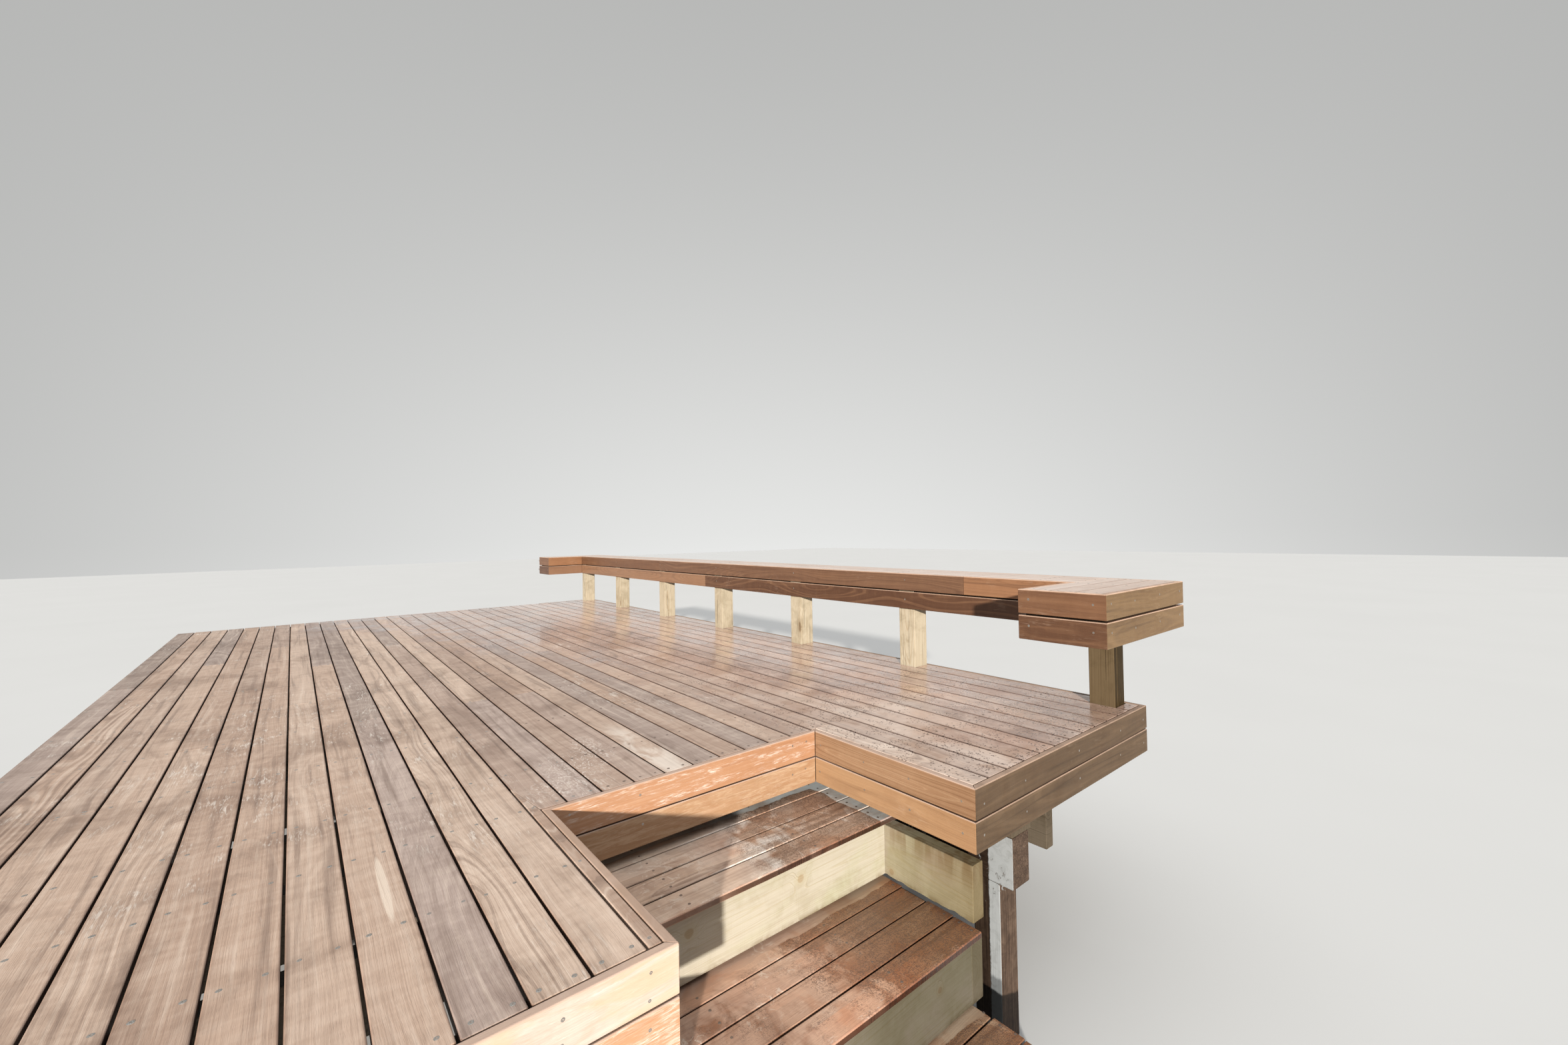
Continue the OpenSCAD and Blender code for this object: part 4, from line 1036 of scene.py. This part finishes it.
# ---------------------------------------------------------------- bench rail
def bench():
    e = 0.4
    sc = Acc()
    rs = random.Random(21)
    acc = Acc()
    for k, y in enumerate(POST_Y):
        if k == 0:
            # the near post is two laminated halves
            timber(acc, (PX, PX + 24, y, y + BP, ZB, FZ), "z", "x", random.Random(700), r=2.0, seg=110, mi=1, nr=2)
            timber(acc, (PX + 24.6, PX + 84, y, y + BP, ZB, FZ), "z", "x", random.Random(701), r=2.0, seg=110, mi=1, nr=2)
        else:
            timber(acc, (PX, PX + BP, y, y + BP, ZB, FZ), "z", "x", random.Random(700 + 3 * k), r=2.6, seg=110, nr=3)
    acc.piece("bench_posts_wood", [M["post"], M["post_near"]], "post_pine", ["bench_posts"])
    bars("bench_arms", "frame_pine", "frame", [((PX + 46, BXO - T - 45, q + BP, q + BP + 45, FZ - 90, FZ), "x", "y") for q in POST_Y], seed=720)
    bars("bench_rails", "frame_pine", "frame", [((BXO - T - 45, BXO - T, BYN + T, BYF - T, FZ - 90, FZ), "y", "x")]
         + [((PX, PX + 45, a, b, FZ - 90, FZ), "y", "x")
            for a, b in zip([BYN + T] + [q + BP for q in POST_Y], POST_Y + [BYF - T])], seed=730)
    rows = []
    for s in (0, 1):
        a = BYN + T if s == 0 else BYF - T - BW + 2 * T
        b = a + BW - 2 * T
        x = (BXF if s else BXR) + T
        rows += [((x, PX - 1, a, a + 45, FZ - 90, FZ), "x", "y"), ((x, PX - 1, b - 45, b, FZ - 90, FZ), "x", "y"),
                 ((x, x + 45, a + 46, b - 46, FZ - 90, FZ), "y", "x")]
    bars("bench_return_frames", "frame_pine", "frame", rows, seed=740)

    # seat boards
    acc = Acc()
    for k in range(3):
        x = BX + T + SG + k * (SW + SG)
        y0, y1 = BYN + BW - T, BYF - BW + T
        cuts = [y0] + [[2100.0, 3905.0], [1230.0, 3400.0], [1850.0]][k] + [y1]
        for i in range(len(cuts) - 1):
            timber(acc, (x, x + SW, cuts[i] + (0.5 if i else 1.0), cuts[i + 1] - 0.5, FZ, BZ), "y", "z", random.Random(760 + 7 * k + i), r=2.4, seg=140, cup=0.3)
    acc.piece("bench_seat_long_wood", [M["bench_top"]], "bench_hardwood", ["bench_seat_long"])
    acc = Acc()
    for s in (0, 1):
        for k in range(3):
            a = (BYN if s == 0 else BYF - BW) + T + SG + k * (SW + SG)
            xr = BXF if s else BXR
            timber(acc, (xr + T + SG, BXO - T - SG, a, a + SW, FZ, BZ), "x", "z", random.Random(790 + 5 * s + k), r=2.4, seg=80, cup=0.3)
            for x in (xr + T + 22, PX - 30, BXO - T - 24):
                for d in (24, 66):
                    screw(sc, (x + rs.uniform(-2, 2), a + d + rs.uniform(-2, 2), BZ - 0.35), (0, 0, 1), rs)
    acc.piece("bench_seat_returns_wood", [M["bench_top"]], "bench_hardwood", ["bench_seat_returns"])

    h, sl = 86.0, 6.0
    acc = Acc()
    two_boards(acc, (BX, PX, BYN + BW, BYF - BW), "y", "x", BZ, random.Random(801), (BYN + BW + e, BYN + BW - T + e), (BYF - BW - e, BYF - BW + T - e),
               h, sl, tones=(0.3, 0.05), splits=((713.0, 3706.0), (2970.0,)))
    acc.piece("bench_fascia_inner_wood", [M["bench_side"]], "bench_hardwood", ["bench_fascia_inner"])
    acc = Acc()
    two_boards(acc, (BXO - T, BXO, BYN, BYF), "y", "x", BZ, random.Random(802), (BYN + T + e, BYN + e), (BYF - T - e, BYF - e), h, sl,
               tones=(0.5, 0.3), splits=((2400.0, 4560.0), (1400.0, 3722.0)))
    acc.piece("bench_fascia_outer_wood", [M["bench_side"]], "bench_hardwood", ["bench_fascia_outer"])
    for s, node in ((1, "bench_fascia_near"), (-1, "bench_fascia_far")):
        acc = Acc()
        y1 = BYN if s > 0 else BYF
        xr = BXR if s > 0 else BXF
        rng = random.Random(810 + s)

        def span(a, b):
            return (min(a, b), max(a, b))

        def cutx(a_out, a_in):
            # thickness runs along Y: low side first
            return (a_out, a_in) if s > 0 else (a_in, a_out)

        ya, yb = span(y1, y1 + s * T)
        two_boards(acc, (xr, BXO, ya, yb), "x", "y", BZ, rng, cutx(xr + e, xr + T + e), cutx(BXO - e, BXO - T - e), h, sl, mi=1, tones=(0.2, 0.7))
        ya, yb = span(y1 + s * e, y1 + s * (BW - e))
        lo_c = (ya, ya + T)
        hi_c = (yb, yb - T)
        two_boards(acc, (xr, xr + T, ya, yb), "y", "x", BZ, rng, lo_c, hi_c, h, sl, mi=0, tones=(0.15, 0.6))
        ya, yb = span(y1 + s * (BW - T), y1 + s * BW)
        two_boards(acc, (xr, PX, ya, yb), "x", "y", BZ, rng, cutx(xr + T + e, xr + e), cutx(PX - e, BX - e), h, sl, mi=0, tones=(0.4, 0.8))
        acc.piece(node + "_wood", [M["bench_side"], M["bench_near"]], "bench_hardwood", [node])
    for z in (BZ - 36, BZ - 129):
        j = lambda: rs.uniform(-4, 4)
        for x, y in ((BXR, BYN + 40), (BXR, BYN + BW - 40), (BXF, BYF - BW + 40), (BXF, BYF - 40)):
            screw(sc, (x + 0.3, y + j(), z + j()), (-1, 0, 0), rs)
        for x in (BXR + 40, BXR + 230, BX + 60, BXO - 40):
            screw(sc, (x + j(), BYN + 0.36, z + j()), (0, -1, 0), rs)
            screw(sc, (x + j(), BYF - 0.36, z + j()), (0, 1, 0), rs)
        for y in POST_Y:
            if BYN + BW < y < BYF - BW:
                screw(sc, (BX + 0.3, y + 45 + j(), z + j()), (-1, 0, 0), rs)
            screw(sc, (BXO - 0.36, y + 45 + j(), z + j()), (1, 0, 0), rs)
    for k in range(3):
        x = BX + T + SG + k * (SW + SG)
        for y in [POST_Y[i] + 119 for i in range(1, 6)] + [POST_Y[0] + 300]:
            for d in (22, 64):
                screw(sc, (x + d + rs.uniform(-2, 2), y + rs.uniform(-3, 3), BZ - 0.35), (0, 0, 1), rs)
    sc.piece("bench_screws", [M["screw"]], "bench_hardwood")


bench()

# ---------------------------------------------------------------- floor, light, camera
me = bpy.data.meshes.new("studio_floor")
S = 40.0
me.from_pydata([(-S, -S, 0), (S, -S, 0), (S, S, 0), (-S, S, 0)], [], [(0, 1, 2, 3)])
floor = bpy.data.objects.new("studio_floor", me)
bpy.context.scene.collection.objects.link(floor)
fg = Mat("studio_floor_paint")
fn = fg.noise(fg.node("ShaderNodeTexCoord").outputs["Object"], 0.6, 3.0, 0.5)
fg.end(fg.mix(fn, (0.53, 0.53, 0.525), (0.56, 0.56, 0.555)), 0.85, fn, 0.001, 0.1)
me.materials.append(fg.m)

world = bpy.data.worlds.new("studio")
bpy.context.scene.world = world
world.use_nodes = True
bg = world.node_tree.nodes["Background"]
bg.inputs[0].default_value = (0.96, 0.965, 0.95, 1.0)
# an even dome, brighter in a low band behind the deck
wt = world.node_tree
wd = wt.nodes.new("ShaderNodeTexCoord").outputs["Generated"]


def wnode(kind, op, a, b=None, c=None):
    nd = wt.nodes.new(kind)
    nd.operation = op
    for k, v in enumerate((a, b, c)):
        if isinstance(v, bpy.types.NodeSocket):
            wt.links.new(v, nd.inputs[k])
        elif v is not None:
            nd.inputs[k].default_value = v
    return nd.outputs[1] if op == "DOT_PRODUCT" else nd.outputs[0]


side = wnode("ShaderNodeVectorMath", "DOT_PRODUCT", wd, (0.62, 0.78, 0.0))
rise = wnode("ShaderNodeVectorMath", "DOT_PRODUCT", wd, (0.0, 0.0, 1.0))
band = wnode("ShaderNodeMath", "SUBTRACT", 1.0, wnode("ShaderNodeMath", "MULTIPLY", rise, 1.25))
band = wnode("ShaderNodeMath", "MAXIMUM", band, 0.0)
lift = wnode("ShaderNodeMath", "MULTIPLY", wnode("ShaderNodeMath", "MAXIMUM", side, 0.0), band)
dome = wnode("ShaderNodeMath", "MULTIPLY_ADD", wnode("ShaderNodeMath", "MAXIMUM", rise, 0.0), 0.34, 0.20)
wt.links.new(wnode("ShaderNodeMath", "MULTIPLY_ADD", lift, 0.62, dome), bg.inputs[1])

sun = bpy.data.lights.new("key", "SUN")
sun.energy = 7.6
sun.angle = math.radians(1.6)
sun.color = (1.0, 0.955, 0.885)
so = bpy.data.objects.new("key", sun)
bpy.context.scene.collection.objects.link(so)
so.visible_glossy = False     # no burnt-out patch on the wet boards when seen against it
so.rotation_euler = Vector((0.879, 1.0, -0.297)).to_track_quat("-Z", "Y").to_euler()
top = bpy.data.lights.new("overhead", "SUN")
top.energy = 1.45
top.angle = math.radians(70.0)
top.color = (0.96, 0.98, 1.0)
to = bpy.data.objects.new("overhead", top)
bpy.context.scene.collection.objects.link(to)
to.rotation_euler = Vector((0.10, 0.16, -1.0)).to_track_quat("-Z", "Y").to_euler()

cam = bpy.data.cameras.new("camera")
co = bpy.data.objects.new("camera", cam)
bpy.context.scene.collection.objects.link(co)
F_PX, YAW, PITCHA, ROLL = 902.9, math.radians(39.25), math.radians(1.02), math.radians(-0.93)
CX, CY, CZ = -4.6, -929.0, 836.0 + 685.0
fw = Vector((math.sin(YAW) * math.cos(PITCHA), math.cos(YAW) * math.cos(PITCHA), math.sin(PITCHA)))
rt = Vector((math.cos(YAW), -math.sin(YAW), 0.0))
up = rt.cross(fw)
rt2 = rt * math.cos(ROLL) + up * math.sin(ROLL)
up2 = up * math.cos(ROLL) - rt * math.sin(ROLL)
mw = Matrix.Identity(4)
for i in range(3):
    mw[i][0], mw[i][1], mw[i][2] = rt2[i], up2[i], -fw[i]
p = cad(CX, CY, CZ)
mw[0][3], mw[1][3], mw[2][3] = p
co.matrix_world = mw
cam.sensor_fit = "HORIZONTAL"
cam.sensor_width = 36.0
cam.lens = 36.0 * F_PX / 2352.0
cam.clip_start = 0.01
cam.clip_end = 200.0
bpy.context.scene.camera = co
